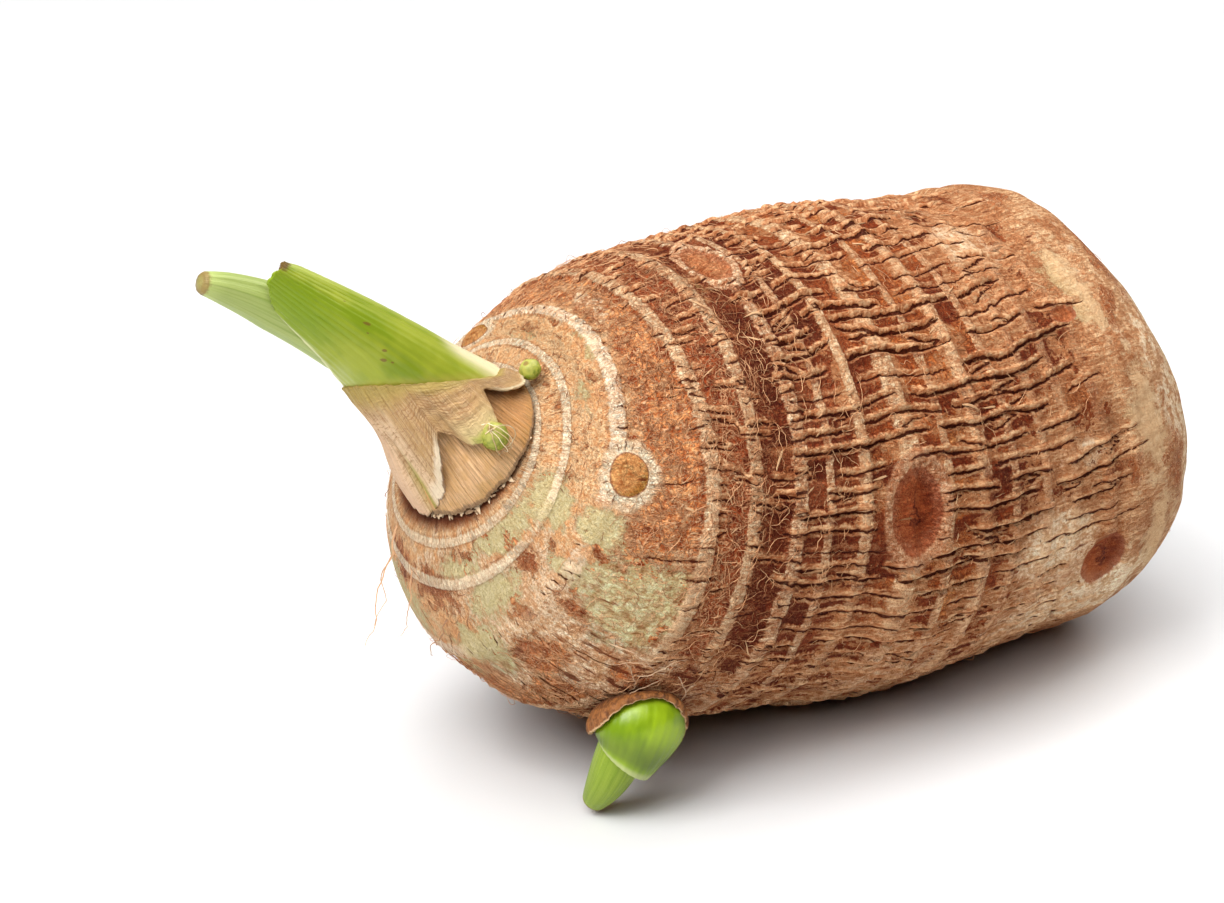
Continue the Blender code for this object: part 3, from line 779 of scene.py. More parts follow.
# %% Corm mesh
def make_corm():
    """Fine corm with its relief and the values for its material."""
    last = len(ROWS) - 1
    bpy.ops.mesh.primitive_uv_sphere_add(segments=POINTS_AROUND, ring_count=last, radius=1.0)
    corm = bpy.context.object
    corm.name = "corm_skin"
    mesh = corm.data
    ball = np.empty(len(mesh.vertices) * 3)
    mesh.vertices.foreach_get("co", ball)
    ball = ball.reshape(-1, 3)
    level = np.rint((0.5 + np.arcsin(np.clip(ball[:, 2], -1.0, 1.0)) / math.pi) * last).astype(int)
    turn = np.degrees(np.arctan2(ball[:, 1], ball[:, 0])) % 360.0
    order = np.lexsort((turn, level))
    level_sorted, turn_sorted = level[order], turn[order]
    body = (level_sorted > 0) & (level_sorted < last)
    around = turn_sorted[body].reshape(last - 1, POINTS_AROUND)
    row = np.repeat(ROWS[1:last, None], POINTS_AROUND, axis=1)
    points, values = corm_points(row, around)
    ends = {0: skin(0.0, 0.0), last: skin(BODY_LENGTH, 0.0)}
    placed = np.empty_like(ball)
    placed[order[body]] = points.reshape(-1, 3)
    for end, place in ends.items():
        placed[level == end] = place
    placed[:, 2] = np.maximum(placed[:, 2], FLOOR_LIFT)
    mesh.vertices.foreach_set("co", (placed * MM).ravel())
    for name, parts in values.items():
        filled = []
        for part in parts:
            whole = np.empty(len(ball))
            whole[order[body]] = part.ravel()
            whole[level == 0] = part[0, 0]
            whole[level == last] = part[-1, 0]
            filled.append(whole)
        put_on_points(mesh, name, *filled)
    turn_faces_out()
    bpy.ops.object.shade_smooth()
    return corm


def corm_points(row, around):
    """Points of the corm's rows and the values that they carry."""
    sways = RINGS[:, 1] * np.cos(2.0 * np.radians(around[0][:, None] - RINGS[:, 2]))
    sway = np.stack([np.interp(ROWS[1:-1], RINGS[:, 0], column) for column in sways], axis=1)
    calm = np.minimum(row, BODY_LENGTH - row) / 12.0
    along = np.clip(row + sway * np.minimum(calm, 1.0), 0.0, BODY_LENGTH)
    plain = skin(along, around)
    distance, gap, phase, depth = crack_fields(along, around)
    zone = smooth(along, CRACK_START - 8.0, 82.0) * smooth(row, TICK_END + 2.0, TICK_END - 3.0)
    bud_away, bud_at, _ = nearest_spot(along, around, BUDS, BUD_SIZES)
    scar_away, scar_at, scar_number = nearest_spot(along, around, SCARS, SCAR_SIZES)
    faded = np.ones(along.shape)
    quiet = smooth(bud_away, 1.3, 2.1) * smooth(scar_away, 0.95, 1.35)
    depth = depth * quiet * np.maximum(zone, 0.55 * smooth(row, 150.0, 160.0) * smooth(row, 201.0, 196.0))
    height = body_relief(along, around, row) + crack_relief(distance, depth)
    band, ring = ring_band(row)
    even = (1.0 - 0.65 * smooth(band, -0.3, 0.2)) * (0.35 + 0.65 * smooth(scar_away, 1.0, 1.6))
    height += fine_relief(plain, along) * np.minimum(calm, 1.0) * even
    points = skin(along, around, height * np.minimum(calm * 2.0, 1.0))
    near_root = (along < ROOT_END)[..., None]
    points = points + outward(along, around) * root_scar_relief(along, around)[..., None] * near_root
    for place, middle, spread, amount in RING_FADES:
        here = np.abs(RINGS[ring, 0] - place) < 0.5
        faded -= here * amount * bell(angle_gap(around, middle), 0.0, spread)
    turn = np.radians(around)
    warped = tuple(
        at + SPOT_WARP * (noise_field(plain, 6.0, seed) + 0.5 * noise_field(plain, 2.5, seed))
        for at, seed in ((along, 7), (around, 8))
    )
    redness, rim = (np.array([scar[k] for scar in SCARS])[scar_number] for k in (5, 6))
    values = {
        "place": (along, 50.0 * np.cos(turn), 50.0 * np.sin(turn)),
        "band": (np.maximum(band, -2.0),),
        "pale": (RINGS[ring, 5] * faded,),
        "row": (row,),
        "cell": (cell_tones(*warped, row),),
        "crack_cos": (np.cos(phase),),
        "crack_sin": (np.sin(phase),),
        "crack_gap": (gap,),
        "crack_depth": (depth,),
        "bud_at": (*bud_at, bud_away),
        "scar_at": (*scar_at, scar_away),
        # Its third part is the strength of the painted shade in the hollows beside the side shoot.
        "scar_kind": (redness, rim, strongest(*warped, HOLLOW_SHADE_SPOTS)),
        "tint": tuple(strongest(*warped, spots) for spots in (GREEN_SPOTS, RED_SPOTS, BARE_SPOTS)),
    }
    return points, values


corm = make_corm()
print(corm.name, len(corm.data.vertices), "points")

# %% [markdown]
# ## The corm's skin
#
# The colour is built up as the skin itself is: tan cork first, red-brown fibrous skin where it
# is left between the rings, greenish flesh showing through near the crown, then pale rings,
# buds, scars, and last the dark lines of the cracks, which are painted shade, as is the dark in
# the hollows beside the side shoot and under the husk. The crack lips, the buds and the scars
# carry painted shade as well. Each of those is a layer with a function of its own. It takes the
# colour so far and the shared masks, and gives the new colour back.

# %% Skin colours
TAN = (0.58, 0.37, 0.21)
TAN_LIGHT = (0.84, 0.60, 0.37)
TAN_BROWN = (0.34, 0.16, 0.07)
CROWN_TAN = (0.82, 0.51, 0.27)
CROWN_LIGHT = (0.95, 0.75, 0.48)
GREY_GREEN = (0.49, 0.52, 0.28)
PALE_GREEN = (0.66, 0.66, 0.43)
CROWN_RUST = (0.44, 0.16, 0.06)
CROWN_RED = (0.38, 0.14, 0.055)
WORN_TAN = (0.66, 0.46, 0.27)
WORN_LIGHT = (0.84, 0.64, 0.42)
BARE_CREAM = (0.72, 0.49, 0.29)
BARE_LIGHT = (0.92, 0.74, 0.52)
FIBRE_TAN = (0.95, 0.62, 0.38)
LIP_TAN = (0.64, 0.40, 0.23)
LIP_LIGHT = (0.91, 0.68, 0.43)
# Dark brown of pores and edges; also painted shade beside curls and crack lips, and in hollows.
DARK_BROWN_AND_SHADE = (0.12, 0.040, 0.018)
# Painted shade in the grooves of the cracks and in the splits of scars.
CRACK_SHADE = (0.075, 0.026, 0.013)
RING_CREAM = (0.92, 0.70, 0.48)
HALO_CREAM = (0.92, 0.74, 0.50)
HALO_LIGHT = (0.98, 0.84, 0.62)
TICK_BROWN = (0.20, 0.13, 0.08)
BUD_ORANGE = (0.68, 0.40, 0.18)
# Painted shade on one side of a bud's disc.
BUD_SHADE_OLIVE = (0.36, 0.23, 0.04)
BUD_LIGHT = (0.78, 0.50, 0.22)
BUD_EYE = (0.34, 0.13, 0.03)
BUD_CIRCLE = (0.44, 0.19, 0.05)
BUD_RIM = (0.24, 0.10, 0.035)
SCAR_TAN = (0.70, 0.40, 0.22)
SCAR_RED = (0.44, 0.18, 0.08)
# Dark patches of a scar's face, and painted shade on one side of it.
SCAR_DARK_AND_SHADE = (0.17, 0.052, 0.022)
SCAR_ORANGE = (0.60, 0.28, 0.13)
SCAR_PINK = (0.62, 0.37, 0.25)
RIM_TAN = (0.66, 0.42, 0.26)
# Painted shadow on the skin under the husk's rim.
HUSK_SHADOW_BROWN = (0.09, 0.03, 0.012)
STUB_TAN = (0.50, 0.33, 0.20)
# Row on the corm, and the colour of the fibrous skin there.
FIBROUS_TONES = (
    (0, (0.44, 0.22, 0.11)), (66, (0.40, 0.18, 0.08)), (98, (0.40, 0.15, 0.055)),
    (105, (0.37, 0.136, 0.048)), (112, (0.53, 0.22, 0.08)), (121, (0.47, 0.185, 0.066)),
    (130, (0.38, 0.138, 0.050)), (136, (0.27, 0.090, 0.034)), (150, (0.21, 0.070, 0.030)),
    (159, (0.19, 0.066, 0.030)), (165, (0.21, 0.076, 0.034)), (169, (0.28, 0.092, 0.038)),
    (176, (0.43, 0.148, 0.055)), (182, (0.72, 0.33, 0.14)), (193, (0.72, 0.35, 0.16)),
    (236, (0.60, 0.29, 0.14)),
)
# Row on the corm, and how much of the skin is fibrous there.
FIBROUS_SHARE = (
    (0, 0.12), (58, 0.2), (72, 0.42), (96, 0.46), (99, 0.72), (105, 0.76), (109, 0.3), (112, 0.74),
    (121, 0.74), (124, 0.3), (130, 0.74), (136, 0.8), (139, 0.45), (142, 0.85), (152, 0.9),
    (158, 0.85), (176, 0.85), (182, 0.7), (191, 0.66), (194.5, 0.3), (205, 0.20), (236, 0.22),
)
# Row on the corm, and the colour of a ring there.
RING_TONES = (
    (0, (0.66, 0.47, 0.30)), (100, (0.88, 0.63, 0.40)), (127, (0.98, 0.76, 0.50)),
    (140, (0.95, 0.73, 0.48)), (155, (0.84, 0.64, 0.43)), (166, (0.92, 0.70, 0.46)),
    (178, (0.92, 0.70, 0.46)), (190, (0.90, 0.70, 0.48)), (198, (0.94, 0.76, 0.55)),
    (207, (0.96, 0.80, 0.57)), (214, (0.96, 0.80, 0.57)), (222, (0.90, 0.74, 0.52)),
)
print(len(FIBROUS_TONES), "tones of fibrous skin,", len(RING_TONES), "of rings")


# %% Noises and zones of the skin
def ramp(row, table):
    """Colour or share that goes with the row, from a table."""
    stops = []
    for place, value in table:
        stops.append((place / BODY_LENGTH, value if isinstance(value, tuple) else (value,) * 3))
    return row.node("ShaderNodeValToRGB", {"stops": stops}, {0: row / BODY_LENGTH})


def skin_marks(start):
    """Values on the points, noises and zones of the skin."""
    m = SimpleNamespace(start=start)
    for name in ("row", "band", "pale", "cell", "crack_depth"):
        setattr(m, name, attribute(start, name))
    for name in ("place", "scar_at", "scar_kind", "bud_at", "tint"):
        setattr(m, name, attribute(start, name, "Vector"))
    m.green, m.red, m.bare = (m.tint.axis(k) for k in range(3))

    m.broad = m.place.cloud(0.09, 3.0)
    m.patch = m.place.cloud(0.28, 4.0, 0.6)
    m.grain = m.place.cloud(1.1, 4.0, 0.65)
    m.speck = m.place.cloud(3.0, 3.0, 0.65)
    m.uneven, m.gritty = m.patch - 0.5, m.grain - 0.5
    m.streak = m.place.stretched(0.25, 1.0, 1.0).cloud(1.5, 3.0, 0.6, 0.6)
    m.felt = m.place.shifted((0.0, 0.0, 90.0)).cloud(0.42, 3.0, 0.55, 0.8)
    m.curls = m.place.threads(0.50, 1.0, 1.5, 0.060)
    m.curl_shadows = m.place.shifted((0.30, 0.25, 0.25)).threads(0.50, 1.0, 1.5, 0.075)
    m.fine_curls = m.place.shifted((50.0, 0.0, 0.0)).threads(1.05, 1.0, 1.6, 0.080)

    phase = start.math("ARCTAN2", attribute(start, "crack_sin"), attribute(start, "crack_cos"))
    wiggle = (m.place.cloud(0.30, 3.0, 0.6) - 0.5) * 2.2
    m.crack_side = phase * attribute(start, "crack_gap") / (2.0 * math.pi) + wiggle
    m.rough_side = m.crack_side + m.gritty * 0.7

    m.belt = m.row.rise(153.0, 158.0) * m.row.rise(196.0, 190.0)
    m.old_belts = m.row.rise(154.0, 160.0) * m.row.rise(182.0, 176.0)
    m.bark = m.row.rise(64.0, 74.0) * m.row.rise(168.0, 158.0)
    m.worn = m.row.rise(76.0, 62.0)
    m.crown = m.row.rise(190.0, 196.0)
    return m


print("noises of the skin ready")


# %% Masks of the skin
def fibrous_masks(m):
    """Where the skin is green, red-brown, fibrous, fluffy with curls, or felted."""
    m.green_mask = (m.green + m.uneven * 1.2 + (m.speck - 0.5) * 0.6).rise(0.30, 0.6)
    share = ramp(m.row, FIBROUS_SHARE) - m.bare * 0.75 - m.green * 0.6 + (0.4 - m.cell) * 0.5 * m.bark
    cover = share.most(m.red * 1.1 - 0.1) + m.uneven * (1.8 + 1.2 * m.crown)
    cover = cover + m.gritty * 1.3 + (m.streak - 0.5) * 0.6
    m.red_mask = cover.rise(0.46, 0.56)
    m.fibrous = (m.red_mask * 0.75 + m.belt * 0.5).clipped()
    m.fluffy = m.fibrous * (1.0 - 0.7 * m.bark)
    m.felted = m.fluffy * (1.0 - m.worn)


def line_masks(m):
    """Where a pale ring is left, and where a crack has its lip and its line."""
    torn_band = m.band + m.gritty * 0.7 + m.uneven * (1.3 - 0.8 * m.crown)
    torn_band = torn_band + (m.speck - 0.5) * 0.2
    left = (m.pale + m.uneven * (1.0 - 0.4 * m.crown)).rise(0.15, 0.75)
    m.band_mask = torn_band.rise(-0.05, 0.25) * left

    ridge = m.rough_side.rise(-1.7, -1.2) * m.crack_side.rise(0.1, -0.1)
    low_lip = m.crack_side.rise(0.3, 0.5) * m.rough_side.rise(1.15, 0.7) * 0.7
    m.lip = (ridge + low_lip) * m.crack_depth.rise(0.08, 0.4) * m.row.rise(184.0, 176.0)
    # The crack's line is painted shade of its groove, finer than the mesh.
    width = 0.05 + 0.22 * m.crack_depth * (m.patch * 2.6 - 0.5).clipped() + m.gritty * 0.2
    m.line = ((m.crack_side - 0.08).size() - width).rise(0.14, 0.0) * m.crack_depth.rise(0.05, 0.22)


print("masks of the skin ready")


# %% Layers: cork, bare skin and green flesh
def cork(m):
    """Tan cork, lighter at the crown, with bare cream skin and green flesh in it."""
    tan = blend(TAN, TAN_LIGHT, (m.patch * 0.5 + m.streak * 0.5).rise(0.44, 0.60))
    tan = blend(tan, TAN_BROWN, (m.patch * 0.4 + m.grain * 0.6).rise(0.50, 0.62) * (0.45 + 0.45 * m.bark))
    tan = blend(tan, TAN_BROWN, m.broad.rise(0.5, 0.62) * m.worn * 0.5)
    crown_tan = blend(CROWN_TAN, CROWN_LIGHT, (m.grain * 0.5 + m.patch * 0.5).rise(0.42, 0.58))
    rust = (m.streak * 0.4 + m.grain * 0.6).rise(0.52, 0.62)
    colour = blend(tan, blend(crown_tan, CROWN_RUST, rust * 0.7), m.crown)
    bare_tone = blend(BARE_CREAM, BARE_LIGHT, (m.grain * 0.5 + m.patch * 0.5).rise(0.42, 0.56))
    colour = blend(colour, bare_tone, (m.bare + m.uneven * 1.4).rise(0.3, 0.55))
    green_tone = blend(GREY_GREEN, PALE_GREEN, (m.grain * 0.6 + m.speck * 0.4).rise(0.34, 0.68))
    green_tone = blend(green_tone, blend(WORN_TAN, WORN_LIGHT, m.grain), m.worn * 0.85)
    return blend(colour, green_tone, m.green_mask * 0.85)


def fibrous_skin(m, colour):
    """Red-brown fibrous skin in patches, with felt and curly fibres on it."""
    tone = ramp(m.row, FIBROUS_TONES)
    tone = blend(tone, CROWN_RED, m.row.rise(188.0, 194.0) * m.red.rise(0.4, 0.8))
    light = (0.4 + 1.25 * m.cell) * m.bark + (1.0 - m.bark) + m.uneven * 1.2
    colour = blend(colour, deepen(tone, light.most(0.25)), m.red_mask * 0.95)
    colour = deepen(colour, (1.0 + (m.felt - 0.5) * 4.0 * m.felted).most(0.35).least(1.18))
    colour = blend(colour, DARK_BROWN_AND_SHADE, m.curl_shadows * m.fibrous * 0.70)
    fuzz = (m.fluffy * 0.45 + m.crown * 0.3 - m.green_mask * 0.5).clipped()
    colour = blend(colour, FIBRE_TAN, m.fine_curls * fuzz)
    return blend(colour, FIBRE_TAN, m.curls * m.fluffy * (0.85 - 0.35 * m.crown))


print("cork and fibrous skin ready")


# %% Layers: rings and crack lips
def ring_bands(m, colour):
    """Pale rings with a darker edge."""
    light = 0.72 + 0.56 * (m.grain * 0.4 + m.streak * 0.4 + m.speck * 0.2)
    colour = blend(colour, deepen(ramp(m.row, RING_TONES), light), m.band_mask * 0.92)
    edge = (m.band + 0.15).size().rise(0.3, 0.0) * m.pale * m.row.rise(150.0, 180.0)
    return blend(colour, DARK_BROWN_AND_SHADE, edge * 0.25)


def crack_lips(m, colour):
    """Pale raised lips of the cracks, painted shade at their foot and on the skin above and below."""
    tone = blend(LIP_TAN, LIP_LIGHT, (m.grain * 0.5 + m.streak * 0.5).rise(0.42, 0.58))
    # Painted shade on the lower flank of the ridge, where it curves under toward the crack.
    foot = m.crack_side.rise(-0.75, -0.1) * m.crack_side.rise(0.4, 0.3)
    tone = blend(tone, TAN_BROWN, foot * 0.75)
    # Painted shade on the red-brown skin below and above the lips.
    under = (m.rough_side - 0.9).size().rise(0.9, 0.1) * m.crack_depth.rise(0.2, 0.6) * m.bark
    colour = blend(colour, DARK_BROWN_AND_SHADE, under * m.red_mask * 0.6)
    above = (m.rough_side + 1.9).size().rise(0.4, 0.1) * m.crack_depth.rise(0.2, 0.6) * m.bark
    colour = blend(colour, DARK_BROWN_AND_SHADE, above * m.red_mask * 0.5)
    return blend(colour, tone, m.lip * 0.88)


print("rings and lips ready")


# %% Layers: resting buds and hollow scars
def resting_buds(m, colour):
    """Buds: a pale halo with dark ticks round an orange-brown disc with a dark rim and eye;
    one side of the disc is olive with painted shade.
    """
    ahead, aside, away = (m.bud_at.axis(k) for k in range(3))
    halo_edge = away + m.gritty * 0.5 + m.uneven * 0.9
    halo_tone = deepen(blend(HALO_CREAM, HALO_LIGHT, m.grain), 0.8 + 0.4 * m.patch)
    colour = blend(colour, halo_tone, halo_edge.rise(1.8, 1.45))
    spoke = m.start.math("ARCTAN2", aside, ahead)
    spokes = spoke.math("SINE", spoke * 17.0 + m.uneven * 9.0)
    ticks = spokes.rise(0.80, 0.97) * away.rise(1.12, 1.25) * away.rise(1.7, 1.5)
    colour = blend(colour, TICK_BROWN, ticks * m.patch.rise(0.45, 0.6) * 0.8)

    # Olive on one side of the domed disc: painted shade.
    tone = blend(BUD_ORANGE, BUD_SHADE_OLIVE, (aside * 0.7 - ahead * 0.8).rise(0.3, 1.0) * 0.7)
    tone = blend(tone, BUD_LIGHT, m.grain.rise(0.5, 0.7) * 0.6)
    tone = blend(tone, BUD_EYE, (away + m.uneven * 0.6).rise(0.34, 0.05) * 0.7)
    circle = (away - 0.62).size().rise(0.1, 0.0) * m.patch.rise(0.4, 0.55)
    tone = blend(tone, BUD_CIRCLE, circle * 0.6)
    colour = blend(colour, tone, away.rise(1.06, 0.98))
    return blend(colour, BUD_RIM, (away - 1.04).size().rise(0.07, 0.0) * 0.75)


def hollow_scars(m, colour):
    """Scars shaped like a lens: a cream rim round a hollow red-brown face that may be split.
    The face is darker in patches and has painted shade on one side.
    """
    ahead, aside, away = (m.scar_at.axis(k) for k in range(3))
    redness, rim_light = m.scar_kind.axis(0), m.scar_kind.axis(1)
    tone = blend(SCAR_TAN, SCAR_RED, redness.rise(0.5, 0.9))
    # Dark patches of the face, and painted shade on one side of the hollow.
    shaded = m.uneven * 1.8 - ahead * 0.5 + (redness - 0.8) * 0.8
    tone = blend(tone, SCAR_DARK_AND_SHADE, shaded.rise(0.05, 0.75) * 0.85)
    tone = blend(tone, SCAR_ORANGE, (m.grain * 0.5 + m.patch * 0.5 - shaded * 0.1).rise(0.52, 0.64) * 0.6)
    tone = blend(tone, SCAR_PINK, (away + m.uneven * 0.8).rise(0.55, 1.05) * 0.5)

    rim = (away + m.uneven * 0.25 - 1.16).size().rise(0.26, 0.12) * (rim_light * 3.0)
    rim_tone = deepen(blend(RIM_TAN, RING_CREAM, rim_light), 0.7 + 0.6 * m.grain)
    colour = blend(colour, rim_tone, rim.clipped() * 0.95)
    edge = away + m.gritty * 0.08 + m.uneven * 0.25
    colour = blend(colour, tone, edge.rise(1.03, 0.95))
    # The split is a dark line of painted shade.
    split = (ahead * 1.4 + m.uneven * 2.4).size().rise(0.12, 0.02)
    split = split * aside.size().rise(0.6, 0.2) * away.rise(0.9, 0.6) * redness.rise(0.9, 1.0)
    return blend(colour, CRACK_SHADE, split * 0.8)


print("buds and scars ready")


# %% Layers: painted shade and the root end
def painted_shade_marks(m, colour):
    """Painted shade: in the crack grooves, in hollows beside the side shoot and under the husk."""
    # Painted shade of the crack grooves, as thin dark lines.
    colour = blend(colour, CRACK_SHADE, m.line * 0.9)
    # Painted shade in the hollows beside the side shoot.
    holes = m.place.stretched(0.16, 0.9, 0.9).cloud(0.8, 3.0)
    hollow = (m.scar_kind.axis(2) + m.uneven * 0.4 + (holes - 0.5) * 2.2).rise(0.42, 0.62)
    colour = blend(colour, DARK_BROWN_AND_SHADE, hollow * 0.8)
    # Painted shadow on the skin under the husk's rim.
    return blend(colour, HUSK_SHADOW_BROWN, m.row.rise(222.0, 224.5) * 0.9)


def root_scar(m, colour):
    """Tan scar with a dark edge and pores at the root end, where the corm broke off its parent."""
    stub = m.row + m.uneven * 12.0
    colour = blend(colour, STUB_TAN, stub.rise(ROOT_SCAR, ROOT_SCAR - 2.0) * 0.75)
    colour = blend(colour, DARK_BROWN_AND_SHADE, (stub - ROOT_SCAR).size().rise(1.8, 0.4) * 0.7)
    pores = m.speck.rise(0.56, 0.66) * stub.rise(ROOT_SCAR, ROOT_SCAR - 4.0)
    return blend(colour, DARK_BROWN_AND_SHADE, pores * 0.6)


print("dark marks and root end ready")


# %% The whole skin
def mottling(m):
    """How light the skin is: speckles, strongest on fibrous skin, and the tone of each zone."""
    mottle = m.speck * 0.22 + m.grain * 0.43 + m.streak * 0.35
    calm = 1.0 - 0.4 * m.bare - 0.6 * m.green_mask - 0.5 * m.lip
    contrast = (mottle - 0.5) * (2.0 + 1.5 * m.fibrous - 1.3 * m.felted) * calm
    lower_end = m.bare.rise(0.2, 0.9) * m.row.rise(104.0, 94.0) * 0.24
    return (0.87 - 0.16 * m.bark - 0.10 * m.old_belts + lower_end + contrast).most(0.2)


def skin_bump(m):
    """Height of the relief that is finer than the mesh."""
    height = m.grain * 0.5 + m.speck * 0.15 + m.curls * 0.6 * m.fibrous + m.fine_curls * 0.3
    height = height + m.streak * 0.35 + m.felt * 1.6 * m.felted
    height = height * (1.0 - 0.6 * m.lip) + m.band_mask * 0.2 - m.line * 1.2 + m.lip * 0.5
    return (height - m.red_mask * m.bark * 0.5) * (1.0 - 0.5 * m.green_mask)


SKIN_LAYERS = (fibrous_skin, ring_bands, crack_lips, resting_buds, hollow_scars, painted_shade_marks, root_scar)
SKIN_BUMP = 0.0007


def corm_skin_material():
    """Skin of the corm, layer over layer."""
    material, start = new_material("corm_skin")
    m = skin_marks(start)
    fibrous_masks(m)
    line_masks(m)
    colour = cork(m)
    for layer in SKIN_LAYERS:
        colour = layer(m, colour)
    colour = warmed(deepen(colour, mottling(m)))
    rough = 0.86 - 0.2 * m.band_mask - 0.2 * m.crown
    return finish_material(material, colour, rough, skin_bump(m), SKIN_BUMP, 0.10)


corm.data.materials.append(corm_skin_material())
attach(corm, "root")
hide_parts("corm")
print("skin nodes:", len(corm.data.materials[0].node_tree.nodes))

# %% [markdown]
# ## Sheets and balls
#
# Husks and sheaths are leaf bases: thin sheets that curve in two ways. Each starts as a grid
# primitive. Its points are moved to a curved form, and Solidify gives it its wall. Rolled
# leaves and buds are closed, so they start as a sphere primitive. Both kinds carry the way
# round and the way along, for the veins in their materials.

# %% Helpers for sheets and balls
def read_points(mesh):
    """Points of a mesh as rows of three numbers."""
    points = np.empty(len(mesh.vertices) * 3)
    mesh.vertices.foreach_get("co", points)
    return points.reshape(-1, 3)


SMOOTH_ANGLE = math.radians(50.0)


def finish_piece(piece, name, material, node):
    """Name, material, shading and place in the frame of a piece; a strand piece has no node."""
    piece.name = name
    piece.data.name = name
    piece.data.materials.clear()
    piece.data.materials.append(material)
    bpy.ops.object.shade_smooth_by_angle(angle=SMOOTH_ANGLE)
    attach(piece, "root")
    if node:
        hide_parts(node)
    print(name, len(piece.data.polygons), "faces")
    return piece


def make_sheet(name, counts, shape, wall, material, node):
    """Thin curved sheet from shape(u, v), with a wall in millimetres."""
    bpy.ops.mesh.primitive_grid_add(x_subdivisions=counts[0], y_subdivisions=counts[1], size=1.0)
    sheet = bpy.context.object
    flat = read_points(sheet.data)
    u, v = flat[:, 0] + 0.5, flat[:, 1] + 0.5
    placed = shape(u, v)
    sheet.data.vertices.foreach_set("co", (placed * MM).ravel())
    put_on_points(sheet.data, "run", u, v, np.zeros(len(u)))
    turn_faces_out()
    wall_step = sheet.modifiers.new("wall", "SOLIDIFY")
    wall_step.thickness = wall * MM
    wall_step.offset = 0.0
    bpy.ops.object.modifier_apply(modifier="wall")
    return finish_piece(sheet, name, material, node)


def make_ball(name, counts, shape, material, node):
    """Closed rounded piece from shape(turn in degrees, share of the length)."""
    bpy.ops.mesh.primitive_uv_sphere_add(segments=counts[0], ring_count=counts[1], radius=1.0)
    ball = bpy.context.object
    points = read_points(ball.data)
    share = 0.5 + np.arcsin(np.clip(points[:, 2], -1.0, 1.0)) / math.pi
    turn = np.degrees(np.arctan2(points[:, 1], points[:, 0]))
    ball.data.vertices.foreach_set("co", (shape(turn, share) * MM).ravel())
    rad = np.radians(turn)
    put_on_points(ball.data, "run", np.cos(rad), np.sin(rad), share)
    turn_faces_out()
    return finish_piece(ball, name, material, node)


def unit(vectors):
    """Vectors of length one."""
    vectors = np.asarray(vectors, float)
    return vectors / np.linalg.norm(vectors, axis=-1, keepdims=True)


print("sheet and ball helpers ready")

# %% [markdown]
# ## The main shoot
#
# The shoot leaves the crown on a slanted axis. A dry leaf base wraps its foot, then a green
# sheath rolls round it like a paper cone, open along its lower side, and the next leaf comes
# out of the sheath's mouth, still rolled. All of them are placed by the way along the shoot
# from its neck and the angle round it from its upper side.

# %% Places on the shoot
SHOOT_FOOT = np.array((-79.6, 0.0, 75.5)) - FOOTPRINT_MIDDLE
SHOOT_NECK = np.array((-90.0, 0.0, 85.1)) - FOOTPRINT_MIDDLE
SHOOT_TIP = np.array((-120.3, 0.0, 111.9)) - FOOTPRINT_MIDDLE
LEAF_TIP = np.array((-135.3, 0.8, 114.6)) - FOOTPRINT_MIDDLE
NECK_RADIUS = 10.0
MOUTH_RADIUS = 4.5
SHOOT_LENGTH = float(np.linalg.norm(SHOOT_TIP - SHOOT_NECK))
SHOOT_AXIS = unit(SHOOT_TIP - SHOOT_NECK)
SHOOT_UPPER = -unit(np.cross(np.array((0.0, -1.0, 0.0)), SHOOT_AXIS))
SHOOT_UPPER = SHOOT_UPPER * np.sign(SHOOT_UPPER[2])
SIDEWAYS = np.array((0.0, 1.0, 0.0))
HUSK_TOP = 86.6
HUSK_TOP_RISE = 4.2
HUSK_TOP_TURN = 125.0
HUSK_RIM_ALONG = 224.6
HUSK_GAP = 0.35
HUSK_WALL = 0.5
LEAF_WALL = 0.8


def cosd(angle):
    """Cosine of degrees."""
    return np.cos(np.radians(angle))


def shoot_radius(reach):
    """Outer radius of the green sheath at a distance from the neck."""
    share = reach / SHOOT_LENGTH
    belly = 0.5 * np.sin(math.pi * np.clip(share, 0.0, 1.0))
    return NECK_RADIUS + (MOUTH_RADIUS - NECK_RADIUS) * share + belly


def shoot_point(reach, turn, radius):
    """Points round the main shoot: distance from its neck, angle from its upper side, radius."""
    reach, turn, radius = np.broadcast_arrays(reach, turn, radius)
    angle = np.radians(turn)[..., None]
    side = SHOOT_UPPER * np.cos(angle) - SIDEWAYS * np.sin(angle)
    return SHOOT_NECK + SHOOT_AXIS * reach[..., None] + side * radius[..., None]


def husk_top_reach(turn, below=0.0):
    """Distance from the neck at which the dry husk ends, which is higher at the front."""
    height = HUSK_TOP + HUSK_TOP_RISE * np.maximum(0.0, cosd(turn - HUSK_TOP_TURN)) - below
    low, high = np.full(turn.shape, -30.0), np.full(turn.shape, 30.0)
    for _ in range(30):
        reach = (low + high) / 2.0
        under = shoot_point(reach, turn, shoot_radius(reach))[..., 2] < height
        low, high = np.where(under, reach, low), np.where(under, high, reach)
    return reach


print("shoot is", round(SHOOT_LENGTH, 1), "mm from neck to mouth")


# %% Green sheath and rolled leaf
# Angle round the shoot, and how far from the neck the sheath reaches there.
MOUTH = np.array([
    (-80, 37), (-40, 40), (0, 41.3), (14, 41.6), (40, 42.6), (80, 44.2), (110, 44), (130, 42),
    (150, 38.5), (200, 38),
])


def sheath_turn(u, v):
    """Angle round the shoot; the opening widens toward the mouth."""
    start = -145.0 + 70.0 * v**1.5
    end = 150.0 + 42.0 * (1.0 - v) ** 2
    return start + u * (end - start)


